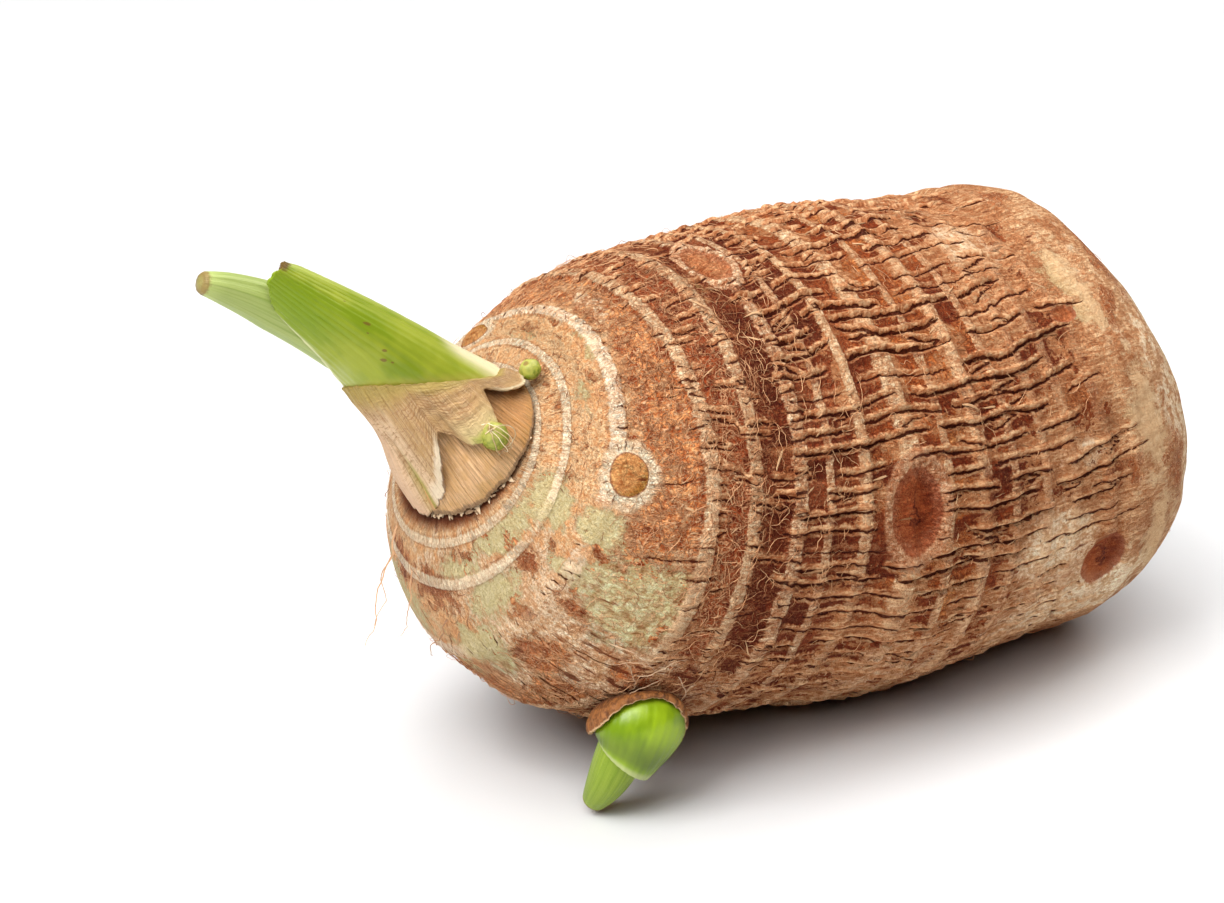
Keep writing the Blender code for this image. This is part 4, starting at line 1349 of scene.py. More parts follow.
def sheath_shape(u, v):
    """Green sheath: a cone rolled round the inner leaf."""
    turn = sheath_turn(u, v)
    start = np.maximum(husk_top_reach(turn, below=1.8), -11.0)
    mouth = np.interp(turn, MOUTH[:, 0], MOUTH[:, 1]) + 0.15 * np.sin(turn / 5.0)
    reach = start + (mouth - start) * v
    veins = 0.06 * np.sin(turn * 0.62) + 0.035 * np.sin(turn * 1.31 + 1.0)
    margin = np.minimum(u, 1.0 - u)
    wrap = 0.9 * smooth(turn, 95.0, 150.0) * smooth(v, 0.3, 0.9)
    tuck = 0.35 * np.exp(-margin * 50.0) * v + 0.5 * smooth(v, 0.93, 1.0) * smooth(turn, 60.0, -20.0)
    radius = shoot_radius(reach) - LEAF_WALL / 2.0 + veins + wrap - tuck
    return shoot_point(reach, turn, radius)


def leaf_shape(turn, share):
    """Young leaf rolled into a spear with a blunt tip."""
    low = SHOOT_NECK + np.array((-2.0, 1.6, -0.9))
    bend = SHOOT_NECK + (SHOOT_TIP - SHOOT_NECK) * 0.85 + np.array((-2.4, 1.9, 0.2))
    t = share[:, None]
    middle = low * (1 - t) ** 2 + bend * 2 * t * (1 - t) + LEAF_TIP * t**2
    axis = unit((bend - low) * (1 - t) + (LEAF_TIP - bend) * t)
    upper = unit(np.cross(axis, SIDEWAYS))
    width = np.interp(share, (0.0, 0.3, 0.62, 0.85, 1.0), (4.0, 5.1, 4.4, 3.0, 1.9))
    width = width * np.minimum(1.0, (share * 9.0) ** 0.5) * np.minimum(1.0, ((1 - share) * 45.0) ** 0.4)
    roll = ((turn - 130.0) % 360.0) / 360.0
    radius = width * (0.93 + 0.09 * smooth(roll, 0.0, 0.05) * (1.0 - 0.6 * roll))
    radius = radius + 0.04 * np.sin(np.radians(turn) * 11.0)
    angle = np.radians(turn)[:, None]
    return middle + radius[:, None] * (upper * np.cos(angle) - SIDEWAYS * np.sin(angle))


print("the sheath's mouth runs from", sheath_turn(0.0, 1.0), "to", sheath_turn(1.0, 1.0), "degrees")


# %% Green materials
def green_material(name, light, deep, veins):
    """Waxy leaf green with veins that run along it."""
    material, start, run = run_material(name)
    streak = run.stretched(veins, 1.0, veins).cloud(1.0, 3.0, 0.6)
    fine = run.stretched(veins * 5.0, 2.0, veins * 5.0).cloud(1.0, 2.0, 0.5)
    grain, broad = millimetres(start).cloud(1.6, 3.0, 0.6), millimetres(start).cloud(0.13, 2.0, 0.5)
    colour = blend(light, deep, (streak + (broad - 0.5) * 0.7).rise(0.36, 0.66))
    colour = blend(colour, tuple(1.3 * part for part in light), fine.rise(0.54, 0.78) * 0.2)
    return material, colour, grain, fine, streak, run


def millimetres(start):
    """Place on the object in millimetres."""
    place = start.node("ShaderNodeTexCoord", (), (), output="Object")
    return place.stretched(1000.0, 1000.0, 1000.0)


LEAF_SHEEN = 0.3
SHEATH_LIGHT, SHEATH_DEEP = (0.32, 0.365, 0.030), (0.195, 0.27, 0.010)
LEAF_LIGHT, LEAF_DEEP = (0.37, 0.43, 0.13), (0.26, 0.34, 0.07)
MARGIN_CREAM = (0.60, 0.60, 0.30)
# Painted highlight along the top of the sheath.
SHEATH_TOP_HIGHLIGHT = (0.52, 0.58, 0.14)
SIDE_YELLOW = (0.46, 0.43, 0.05)
MOUTH_DEEP = (0.20, 0.30, 0.010)
LOWER_PALE = (0.42, 0.45, 0.20)
FOOT_OLIVE = (0.46, 0.37, 0.08)
FOOT_CREAM = (0.80, 0.72, 0.45)
SPECK_BROWN = (0.17, 0.07, 0.02)
NIB_BROWN = (0.14, 0.06, 0.02)
TIP_BROWN = (0.24, 0.12, 0.035)
TIP_OLIVE = (0.30, 0.27, 0.08)
# Share across, share along and size of each brown speck.
SHEATH_SPECKS = (
    (0.66, 0.56, 0.10), (0.72, 0.36, 0.07), (0.75, 0.29, 0.09), (0.735, 0.26, 0.05),
    (0.60, 0.72, 0.04), (0.70, 0.50, 0.04),
)


def sheath_material():
    """Yellow-green sheath with a painted highlight along its top, a pale margin, a cream foot and a few
    brown specks.
    """
    made = green_material("shoot_green", SHEATH_LIGHT, SHEATH_DEEP, 8.0)
    material, colour, grain, fine, streak, run = made
    u, v = run.axis(0), run.axis(1)
    # Painted highlight: a lighter band along the top of the sheath.
    top = (u + (streak - 0.5) * 0.12 - 0.42).size()
    colour = blend(colour, SHEATH_TOP_HIGHLIGHT, top.rise(0.10, 0.02) * 0.5)
    colour = blend(colour, SIDE_YELLOW, (u - 0.62).size().rise(0.12, 0.0) * v.rise(0.5, 0.2) * 0.18)
    colour = blend(colour, MOUTH_DEEP, v.rise(0.35, 0.75) * u.rise(0.55, 0.75) * 0.7)
    lower = u.rise(0.80, 0.94) * v.rise(0.42, 0.2)
    colour = blend(colour, LOWER_PALE, (lower * streak.rise(0.35, 0.6)) * 0.6)
    edge = u.least(1.0 - u)
    colour = blend(colour, MARGIN_CREAM, edge.rise(0.030, 0.010) * 0.9)
    foot = (v + (fine - 0.5) * 0.08).rise(0.16, 0.03)
    colour = blend(colour, FOOT_OLIVE, foot * 0.6)
    cream = (v + (fine - 0.5) * 0.05).rise(0.34, 0.20) * u.rise(0.58, 0.50) * u.rise(0.30, 0.40)
    colour = blend(colour, FOOT_CREAM, cream * 0.95)
    for place_u, place_v, size in SHEATH_SPECKS:
        away = ((u - place_u) * 9.0) ** 2 + ((v - place_v) * 5.0) ** 2 + (grain - 0.5) * 0.004
        colour = blend(colour, SPECK_BROWN, away.rise(size * size, size * size * 0.25) * 0.75)
    nib = (v + (grain - 0.5) * 0.02).rise(0.972, 0.99) * u.rise(0.62, 0.55)
    colour = blend(colour, NIB_BROWN, nib * 0.9)
    height = fine * 0.5 + streak * 0.4 + grain * 0.2
    return finish_material(material, colour, 0.36, height, 0.00016, LEAF_SHEEN)


def leaf_material(name, light, deep, tip_start):
    """Young rolled leaf, brown from a share of its length on."""
    material, start, run = run_material(name)
    share = run.axis(2)
    streak = run.stretched(7.0, 7.0, 1.2).cloud(1.0, 3.0, 0.6)
    grain = millimetres(start).cloud(1.8, 3.0, 0.6)
    colour = blend(light, deep, streak.rise(0.36, 0.72))
    colour = blend(colour, tuple(1.3 * part for part in light), share.rise(0.86, 0.96) * 0.5)
    tip = (share + (grain - 0.5) * 0.05).rise(tip_start - 0.02, tip_start)
    colour = blend(colour, TIP_BROWN, tip * 0.8)
    colour = blend(colour, TIP_OLIVE, share.rise(tip_start + 0.012, tip_start + 0.02) * 0.7)
    height = streak + grain * 0.4
    return finish_material(material, colour, 0.4, height, 0.0002, LEAF_SHEEN)


leaf_green = leaf_material("leaf_green", LEAF_LIGHT, LEAF_DEEP, 0.974)
make_sheet(
    "shoot_sheath_green", (150, 70), sheath_shape, LEAF_WALL, sheath_material(),
    "shoot_sheath",
)
make_ball("shoot_leaf_rolled", (72, 64), leaf_shape, leaf_green, "shoot_leaf")

# %% [markdown]
# ## The dry husks
#
# The oldest leaf base is dry and papery. It wraps the shoot's foot and is torn away at the
# front, where the pleated base of the next one shows. Its veins run from the rim up to the
# shoot, so the stripes in the material follow the sheet's own length.

# %% Husk shapes
# Angle round the shoot, and the share of the way from the rim to the green at which the outer
# husk is torn off.
TORN = np.array([
    (16, 0.42), (24, 0.40), (31, 0.42), (38, 0.48), (46, 0.60), (54, 0.76), (58, 0.82), (61, 0.80),
    (66, 0.62), (72, 0.47), (80, 0.42), (88, 0.41), (94, 0.46), (100, 0.57), (105, 0.62),
    (109, 0.60), (115, 0.46), (124, 0.29), (134, 0.17), (145, 0.09), (156, 0.04), (166, 0),
    (400, 0),
])
# Angle round the shoot, spread and height of the bells by which the torn edge stands off.
TORN_LIPS = ((34, 20, 1), (60, 8, 0.5), (100, 16, 0.4))
HUSK_START = 21.0
HUSK_SWEEP = 319.0
FAN_START = 14.0
FAN_SWEEP = 146.0


def husk_collar(turn):
    """Top of the dry husk on the shoot."""
    reach = husk_top_reach(turn)
    return shoot_point(reach, turn, shoot_radius(reach) + HUSK_GAP + HUSK_WALL / 2.0)


def husk_foot(turn, lift):
    """Point of the husks' lower rim, above the skin by a lift."""
    along = HUSK_RIM_ALONG - 2.2 * cosd(turn - 30.0) - 1.4 * bell(turn, 50.0, 35.0)
    return skin(along, turn) + outward(along, turn) * np.asarray(lift)[..., None]


def husk_out(points):
    """Directions away from the shoot's axis."""
    away = points - SHOOT_FOOT
    return unit(away - SHOOT_AXIS * (away @ SHOOT_AXIS)[..., None])


def husk_waist(turn, t):
    """How far the husk bulges out or pulls in between its rim and its top."""
    waist = 0.8 - 2.6 * np.maximum(0.0, cosd(turn - 200.0))
    return waist * np.sin(math.pi * np.clip(t, 0.0, 1.0))


def ragged(x, seed):
    """Uneven line between -1 and 1, for torn edges."""
    return 0.5 * np.sin(x * 0.31 + seed) + 0.3 * np.sin(x * 0.83 + 2 * seed) + 0.2 * np.sin(x * 2.3)


def husk_outer_shape(u, v):
    """Outer husk from the rim of the crown up to the green, torn away at the front."""
    turn = HUSK_START + u * HUSK_SWEEP
    foot, top = husk_foot(turn, np.full(turn.shape, 1.0)), husk_collar(turn)
    torn = np.interp(turn, TORN[:, 0], TORN[:, 1])
    torn = torn + 0.02 * ragged(turn, 1.0) * smooth(torn, 0.0, 0.1)
    t = torn + (1.0 - torn + 0.006 * ragged(turn * 1.3, 4.0)) * v
    middle = foot + (top - foot) * t[:, None]
    creases = 0.14 * np.sin(turn * 0.55 + 3.0 * t) + 0.09 * np.sin(turn * 1.37 + 5.0 * t)
    creases = creases + 0.10 * np.sin(t * 62.0 + turn * 0.13) * bell(turn, 90.0, 40.0) * smooth(t, 0.4, 0.7)
    near = bell(t, torn, 0.09)
    lip = sum(height * bell(turn, middle_turn, spread) for middle_turn, spread, height in TORN_LIPS) * near
    spike = 1.5 * bell(turn, 117.0, 10.0) * bell(t, torn, 0.22)
    swell = 1.6 * bell(turn, 80.0, 13.0) * bell(t, 0.45, 0.2)
    crease = -0.9 * bell(turn, 157.0, 3.6) * smooth(t, 0.66, 0.4)
    flap = 1.7 * smooth(turn, 158.0, 168.0) * smooth(turn, 235.0, 200.0) * bell(t, 0.25, 0.26)
    tuck = -0.42 * smooth(v, 0.86, 1.0)
    lift = husk_waist(turn, t) + creases + lip + spike + swell + crease + flap + tuck
    return middle + husk_out(middle) * lift[:, None]


def husk_inner_shape(u, v):
    """Inner husk seen through the tear: a pleated fan from the rim to the shoot."""
    turn = FAN_START + u * FAN_SWEEP
    rim = 1.0 + 0.25 * ragged(turn, 2.0)
    foot, top = husk_foot(turn, rim), husk_collar(turn)
    t = 0.9 * v - 0.014 * (1.0 - v) * ragged(turn * 0.8, 5.0)
    middle = foot + (top - foot) * t[:, None]
    pleats = 0.13 * np.sin(np.radians(turn) * 33.0 + 2.0 * v) + 0.03 * np.sin(np.radians(turn) * 88.0)
    depth = 0.35 + 1.35 * smooth(v, 0.0, 0.45)
    puff = 1.0 * bell(turn, 105.0, 30.0) * bell(t, 0.25, 0.22)
    lift = husk_waist(turn, t) * 0.8 - depth + pleats * smooth(v, -0.1, 0.4) * (1.0 - 0.5 * v) + puff
    return middle + husk_out(middle) * lift[:, None]


husk_top = husk_collar(np.array([HUSK_TOP_TURN]))[0, 2]
print("the husk ends", round(float(husk_top), 1), "mm above the floor")

# %% Husk materials
HUSK_TAN = (0.54, 0.32, 0.13)
HUSK_LIGHT = (0.66, 0.44, 0.22)
HUSK_CREAM = (0.94, 0.78, 0.56)
HUSK_PINK = (0.74, 0.48, 0.30)
HUSK_OLIVE = (0.40, 0.33, 0.045)
LEFT_TAN = (0.84, 0.60, 0.38)
VEIN_BROWN = (0.36, 0.17, 0.06)
VEIN_CREAM = (0.84, 0.64, 0.42)
CRINKLE_BROWN = (0.40, 0.19, 0.075)
WRINKLE_BROWN = (0.38, 0.18, 0.065)
FOLD_BROWN = (0.20, 0.10, 0.03)
TORN_CREAM = (0.76, 0.62, 0.38)
LOBE_YELLOW = (0.68, 0.54, 0.26)
LOBE_GREEN = (0.42, 0.44, 0.07)
TOP_OLIVE = (0.42, 0.33, 0.07)
EDGE_BROWN = (0.22, 0.10, 0.04)
FAN_TAN = (0.76, 0.43, 0.18)
FAN_LIGHT = (0.92, 0.57, 0.30)
FAN_BROWN = (0.52, 0.24, 0.075)
FAN_VEIN = (0.38, 0.17, 0.06)
FAN_CREAM = (0.86, 0.62, 0.38)
RIB_BROWN = (0.34, 0.15, 0.05)
RIM_OLIVE = (0.34, 0.22, 0.06)
# Brown of the fan's rim, with painted shadow under it.
RIM_BROWN_AND_SHADOW = (0.24, 0.14, 0.075)
FAN_SHADE = (0.20, 0.08, 0.03)
HUSK_SHEEN = 0.25


def husk_veins(start, run, across):
    """Veins, fine veins, broad and fine unevenness of a husk; across sets how many veins."""
    veins = run.stretched(across, 1.4, 1.0).cloud(1.0, 3.0, 0.65, 0.5)
    fine = run.stretched(across * 3.2, 2.2, 1.0).cloud(1.0, 2.0, 0.6, 0.4)
    place = millimetres(start)
    return veins, fine, place.cloud(0.22, 3.0, 0.6), place.cloud(1.5, 4.0, 0.65)


def past(u, turn, width):
    """Share that rises over a width in degrees from an angle round the shoot; below 0 it falls."""
    return (u * HUSK_SWEEP + (HUSK_START - turn)).rise(0.0, width)


def beside(u, turn, far, near):
    """1 within near of an angle round the shoot, 0 beyond far."""
    return (u * HUSK_SWEEP + (HUSK_START - turn)).size().rise(far, near)


def torn_husk_tone(start, u, v, veins, fine, broad, grain, crinkle):
    """Papery tan with veins, crinkles and hoops, pinkish on the left flap."""
    colour = blend(HUSK_TAN, HUSK_LIGHT, broad.rise(0.4, 0.65))
    colour = blend(colour, LEFT_TAN, past(u, 128.0, 14.0) * past(u, 250.0, -30.0) * v.rise(0.95, 0.6) * 0.8)
    colour = blend(colour, VEIN_BROWN, (veins + (broad - 0.5) * 0.9).rise(0.47, 0.68) * 0.6)
    colour = blend(colour, CRINKLE_BROWN, crinkle.rise(0.52, 0.60) * grain.rise(0.38, 0.6) * 0.8)
    colour = blend(colour, VEIN_CREAM, fine.rise(0.54, 0.68) * 0.6)
    hoops = start.math("SINE", v * 110.0 + (grain - 0.5) * 5.0 + (broad - 0.5) * 20.0)
    wrinkle = hoops.rise(0.3, 0.95) * past(u, 128.0, -12.0) * broad.rise(0.40, 0.56)
    colour = blend(colour, WRINKLE_BROWN, wrinkle * 0.75)
    flap = past(u, 160.0, 8.0) * past(u, 240.0, -30.0) * v.rise(0.7, 0.5)
    return blend(colour, HUSK_PINK, flap * 0.7)


def torn_husk_edges(colour, u, v, fine, broad, grain):
    """Cream torn lips, an olive fold at the left, a green lobe and a green top."""
    olive = beside(u, 154.0, 9.0, 3.0) * (v + (broad - 0.5) * 0.3).rise(0.5, 0.2)
    colour = blend(colour, HUSK_OLIVE, olive * 0.85)
    colour = blend(colour, FOLD_BROWN, beside(u, 157.5, 2.5, 0.5) * v.rise(0.6, 0.4) * 0.6)
    spike = beside(u, 129.0, 22.0, 16.0) * (v + (grain - 0.5) * 0.1).rise(0.17, 0.08)
    colour = blend(colour, HUSK_CREAM, spike * 0.8)
    colour = blend(colour, TORN_CREAM, beside(u, 34.0, 26.0, 16.0) * v.rise(0.12, 0.05) * 0.85)
    colour = blend(colour, LOBE_YELLOW, beside(u, 82.0, 18.0, 8.0) * v.rise(0.5, 0.15) * 0.7)
    colour = blend(colour, LOBE_GREEN, beside(u, 82.0, 12.0, 5.0) * v.rise(0.16, 0.06) * 0.8)
    colour = blend(colour, TOP_OLIVE, (v + (fine - 0.5) * 0.15).rise(0.72, 0.97) * 0.65)
    edge = (v + (grain - 0.5) * 0.02).rise(0.02, 0.0) * u.rise(0.2, 0.24)
    return blend(colour, EDGE_BROWN, edge * 0.7)


def torn_husk_material():
    """Outer husk: papery tan, cream on its torn lips, pinkish on the left flap."""
    material, start, run = run_material("husk_torn")
    u, v = run.axis(0), run.axis(1)
    veins, fine, broad, grain = husk_veins(start, run, 210.0)
    crinkle = run.stretched(26.0, 46.0, 1.0).cloud(1.0, 3.0, 0.65, 0.6)
    colour = torn_husk_tone(start, u, v, veins, fine, broad, grain, crinkle)
    colour = torn_husk_edges(colour, u, v, fine, broad, grain)
    height = veins * 0.6 + fine * 0.5 + grain * 0.25 - crinkle * 1.2
    return finish_material(material, colour, 0.6, height, 0.0004, HUSK_SHEEN)


def pleated_husk_material():
    """Inner husk: tan on the left, orange-brown on the right, with a torn rim in brown and painted shadow.
    """
    material, start, run = run_material("husk_pleated")
    u, v = run.axis(0), run.axis(1)
    veins, fine, broad, grain = husk_veins(start, run, 130.0)
    colour = blend(FAN_TAN, FAN_LIGHT, broad.rise(0.4, 0.62))
    side = (u + (broad - 0.5) * 0.15).rise(0.48, 0.34)
    colour = blend(colour, FAN_BROWN, side * 0.9)
    colour = blend(colour, FAN_VEIN, (veins + (broad - 0.5) * 0.6).rise(0.48, 0.70) * 0.5)
    colour = blend(colour, FAN_CREAM, fine.rise(0.55, 0.72) * 0.5)
    ribs = start.math("SINE", u * 330.0 + (broad - 0.5) * 5.0 + (grain - 0.5) * 2.0)
    colour = blend(colour, RIB_BROWN, ribs.rise(0.5, 1.0) * (broad + 0.1) * 0.28)
    olive = (v + (grain - 0.5) * 0.1).rise(0.22, 0.06)
    colour = blend(colour, RIM_OLIVE, olive * 0.4 * fine.rise(0.4, 0.6))
    # The rim's own brown, darkened further as painted shadow.
    rim = (v + (grain - 0.5) * 0.04).rise(0.045, 0.02)
    colour = blend(colour, RIM_BROWN_AND_SHADOW, rim * 0.8)
    colour = blend(colour, FAN_SHADE, (v + (broad - 0.5) * 0.2).rise(0.55, 0.7) * 0.5)
    height = veins * 0.8 + fine * 0.6 + grain * 0.3 - ribs.rise(0.3, 1.0) * 0.25
    return finish_material(material, colour, 0.62, height, 0.00045, HUSK_SHEEN)


make_sheet(
    "crown_husk_torn", (260, 48), husk_outer_shape, HUSK_WALL, torn_husk_material(),
    "crown_husk_outer",
)
make_sheet(
    "crown_husk_pleated", (260, 36), husk_inner_shape, HUSK_WALL, pleated_husk_material(),
    "crown_husk_inner",
)

# %% [markdown]
# ## Two small buds beside the shoot
#
# One round green bud sits on the crown's rim, and a second, yellow-green, sits low in the
# tear. Each is an egg on its own axis with a small sunken tip.

# %% Crown buds
BUD_GREEN, BUD_DEEP = (0.34, 0.35, 0.045), (0.19, 0.24, 0.02)
BUD_YELLOW, BUD_TIP = (0.46, 0.43, 0.12), (0.22, 0.12, 0.03)


def egg(middle, axis, radius, length, dimple):
    """Shape of a small egg with a sunken tip."""
    side = unit(np.cross(axis, np.array((0.2, 0.9, 0.4))))
    third = np.cross(axis, side)

    def shape(turn, share):
        reach = (share - 0.5) * length - dimple * bell(share, 1.0, 0.07)
        width = radius * np.sin(math.pi * share) ** 0.6 * (1.12 - 0.3 * share)
        width = width * (1.0 + 0.03 * np.sin(np.radians(turn) * 5.0 + 4.0 * share))
        angle = np.radians(turn)[:, None]
        round_part = side * np.cos(angle) + third * np.sin(angle)
        return middle + axis * reach[:, None] + width[:, None] * round_part

    return shape


def bud_material():
    """Yellow-green bud with a brown tip."""
    material, start, run = run_material("bud_green")
    share = run.axis(2)
    grain = millimetres(start).cloud(1.1, 3.0, 0.6)
    colour = blend(BUD_GREEN, BUD_DEEP, grain.rise(0.4, 0.62))
    colour = blend(colour, BUD_YELLOW, share.rise(0.55, 0.85) * 0.5)
    colour = blend(colour, BUD_TIP, (share + (grain - 0.5) * 0.06).rise(0.93, 0.98) * 0.8)
    return finish_material(material, colour, 0.4, grain, 0.0002, LEAF_SHEEN)


bud_green = bud_material()
ROUND_BUD = (218.8, 21.0)
round_foot, round_out = skin(*ROUND_BUD), outward(*ROUND_BUD)
make_ball(
    "crown_bud_round", (40, 28), egg(round_foot + round_out * 3.3, round_out, 2.2, 4.4, 0.5),
    bud_green, "crown_bud",
)
low_middle = np.array((-84.6, -16.6, 78.0)) - FOOTPRINT_MIDDLE
low_axis = unit(np.array((-0.55, -0.35, 0.76)))
make_ball(
    "crown_bud_in_tear", (40, 28), egg(low_middle + np.array((-0.4, -0.2, 1.7)), low_axis, 2.7, 6.6, 0.5),
    bud_green, "crown_bud_low",
)

# %% [markdown]
# ## The side shoot
#
# Under the crown end a small shoot has broken through the skin. It has the same parts as the
# main one: a husk of two brown lobes, a plump green sheath and a rolled leaf that touches the
# floor.

# %% Side shoot
SIDE_ALONG = 170.0
SIDE_AROUND = 140.0
SIDE_LIFT = 2.5
SIDE_START = -228.0
SIDE_SWEEP = 352.0
SIDE_LIGHT, SIDE_DEEP = (0.28, 0.41, 0.010), (0.15, 0.25, 0.004)
SIDE_SHADE, SIDE_MARGIN = (0.06, 0.09, 0.008), (0.42, 0.46, 0.19)
SIDE_LEAF_LIGHT, SIDE_LEAF_DEEP = (0.25, 0.34, 0.028), (0.18, 0.27, 0.014)
LOBE_ORANGE, LOBE_BROWN = (0.31, 0.12, 0.034), (0.13, 0.045, 0.014)
# The second of these is painted shade at the foot of the lobes.
LOBE_RIM, LOBE_FOOT_SHADE = (0.58, 0.38, 0.20), (0.08, 0.03, 0.015)
SIDE_BULGE = np.array((-63.3, -34.2, 18.4)) - FOOTPRINT_MIDDLE
SIDE_MOUTH = np.array((-65.9, -32.4, 13.4)) - FOOTPRINT_MIDDLE
SIDE_LEAF_PATH = [
    np.array(point) - FOOTPRINT_MIDDLE
    for point in ((-65.6, -32.2, 17.5), (-68.8, -31.4, 9.0), (-69.6, -26.2, 2.0))
]
SIDE_ROOT = skin(SIDE_ALONG, SIDE_AROUND)
SIDE_OUT = outward(SIDE_ALONG, SIDE_AROUND)
SIDE_AHEAD = unit(skin(SIDE_ALONG + 1.0, SIDE_AROUND) - SIDE_ROOT)


def side_foot(turn, radius, lift):
    """Points of a ring round the root of the side shoot, above the skin by a lift."""
    along = SIDE_ALONG + radius * cosd(turn)
    skin_radius = float(section(SIDE_ALONG)[2])
    around = SIDE_AROUND + np.degrees(radius * np.sin(np.radians(turn)) / skin_radius)
    return skin(along, around) + outward(along, around) * lift


def side_ring(middle, axis, turn, radius):
    """Points of a ring in space that matches the rings round the root."""
    first = unit(SIDE_AHEAD - axis * (axis @ SIDE_AHEAD)[..., None])
    second = np.cross(axis, first)
    angle = np.radians(turn)[:, None]
    return middle + np.asarray(radius)[..., None] * (first * np.cos(angle) + second * np.sin(angle))


def bow(start, pull, end, t):
    """Curve from start to end, pulled toward a third point."""
    t = t[:, None]
    return start * (1 - t) ** 2 + pull * 2 * t * (1 - t) + end * t**2


def side_husk_shape(u, v):
    """Brown husk round the foot of the side shoot, with two lobes."""
    turn = SIDE_START + u * SIDE_SWEEP
    length = 0.3 + 4.2 * np.abs(cosd(turn - 8.0)) ** 2.4 + 0.25 * ragged(turn * 0.4, 3.0)
    foot = side_foot(turn, 7.9, SIDE_LIFT - 1.2)
    crease = 0.2 * np.sin(turn * 0.4) + 0.12 * np.sin(turn * 1.1)
    axis = np.broadcast_to(SIDE_OUT, (len(turn), 3))
    pull = side_ring(SIDE_ROOT + axis * (2.0 + 0.5 * length)[:, None], axis, turn, 10.3 + crease)
    end = side_ring(SIDE_ROOT + axis * (2.0 + length)[:, None], axis, turn, 9.1 + crease)
    return bow(foot, pull, end, v)


def side_sheath_shape(u, v):
    """Plump green sheath of the side shoot, open at its lower end."""
    turn = SIDE_START + u * SIDE_SWEEP
    down = unit(SIDE_MOUTH - SIDE_BULGE)
    foot = side_foot(turn, 6.8, SIDE_LIFT - 1.0)
    axis = np.broadcast_to(SIDE_OUT, (len(turn), 3))
    veins = 0.05 * np.sin(turn * 0.5) + 0.03 * np.sin(turn * 1.23)
    full = np.maximum(0.0, -cosd(turn - 10.0))
    pull = side_ring(SIDE_BULGE, axis, turn, 9.5 + veins + 2.4 * full)
    end = side_ring(SIDE_MOUTH, np.broadcast_to(down, (len(turn), 3)), turn, 5.8 + veins - 0.9 * full)
    end[:, 2] -= 0.9 * cosd(turn - 216.0)
    return bow(foot, pull, end, v)


def side_leaf_shape(turn, share):
    """Young leaf of the side shoot, with its blunt tip on the floor."""
    start, pull, end = SIDE_LEAF_PATH
    axis = unit((pull - start) * (1 - share)[:, None] + (end - pull) * share[:, None])
    swell = np.minimum(1.0, (share * 8.0) ** 0.5) * np.minimum(1.0, ((1.0 - share) * 26.0) ** 0.4)
    roll = ((turn - 200.0) % 360.0) / 360.0
    radius = 4.9 * swell * (1.0 - 0.55 * share**2) * (0.96 + 0.06 * smooth(roll, 0.0, 0.06))
    points = side_ring(bow(start, pull, end, share), axis, turn, radius)
    points[:, 2] = np.maximum(points[:, 2], 0.1)
    return points


def side_sheath_material():
    """Deep green of the side sheath with a pale margin at its mouth."""
    made = green_material("side_green", SIDE_LIGHT, SIDE_DEEP, 6.0)
    material, colour, grain, fine, streak, run = made
    v = run.axis(1)
    colour = blend(colour, SIDE_SHADE, v.rise(0.55, 0.85) * v.rise(0.98, 0.88) * 0.6)
    colour = blend(colour, SIDE_MARGIN, v.rise(0.94, 0.985) * 0.85)
    height = fine * 0.5 + streak * 0.4 + grain * 0.2
    return finish_material(material, colour, 0.3, height, 0.00015, 0.4)


def side_husk_material():
    """Orange-brown scale with a pale rim and painted shade at its foot."""
    material, start, run = run_material("side_brown")
    v = run.axis(1)
    veins = run.stretched(60.0, 2.0, 1.0).cloud(1.0, 3.0, 0.6, 0.5)
    grain = millimetres(start).cloud(1.3, 4.0, 0.65)
    colour = blend(LOBE_ORANGE, LOBE_BROWN, (veins * 0.6 + grain * 0.4).rise(0.42, 0.60))
    colour = blend(colour, LOBE_RIM, (v + (grain - 0.5) * 0.12).rise(0.90, 0.98) * 0.8)
    # Painted shade at the foot of the lobes, next to the skin.
    colour = blend(colour, LOBE_FOOT_SHADE, v.rise(0.3, 0.0) * 0.7)
    return finish_material(material, colour, 0.62, veins + grain * 0.4, 0.0004, HUSK_SHEEN)


make_sheet(
    "side_husk_lobes", (150, 18), side_husk_shape, HUSK_WALL, side_husk_material(),
    "side_husk",
)
make_sheet(
    "side_sheath_green", (130, 40), side_sheath_shape, LEAF_WALL, side_sheath_material(),
    "side_sheath",
)
side_leaf_green = leaf_material("side_leaf_green", SIDE_LEAF_LIGHT, SIDE_LEAF_DEEP, 0.955)
make_ball("side_leaf_rolled", (60, 48), side_leaf_shape, side_leaf_green, "side_leaf")

# %% [markdown]
# ## Fibres, slivers and root hairs
#
# The dropped leaves left a web of fine curly fibres on the skin, and slivers of it stand up at
# the cracks. Thin root hairs hang at the crown. One strand is made by extruding a triangle
# nine times, an Array modifier repeats it, and each copy is then laid along its own path.

# %% Strands
STRAND_STEPS = 9
COPY_SPACING = 10.0
# Least height of a strand above the floor, in millimetres.
STRAND_LIFT = 0.15


def strand_copies(count, steps):
    """Copies of one straight three-sided strand, in a row."""
    bpy.ops.mesh.primitive_circle_add(vertices=3, radius=1.0, fill_type="NGON")
    bpy.ops.object.mode_set(mode="EDIT")
    bpy.ops.mesh.select_all(action="SELECT")
    for _ in range(steps):
        bpy.ops.mesh.extrude_region_move(TRANSFORM_OT_translate={"value": (0.0, 0.0, 1.0)})
    bpy.ops.object.mode_set(mode="OBJECT")
    strands = bpy.context.object
    row = strands.modifiers.new("row", "ARRAY")
    row.count = count
    row.use_relative_offset = False
    row.use_constant_offset = True
    row.constant_offset_displace = (COPY_SPACING, 0.0, 0.0)
    bpy.ops.object.modifier_apply(modifier="row")
    return strands


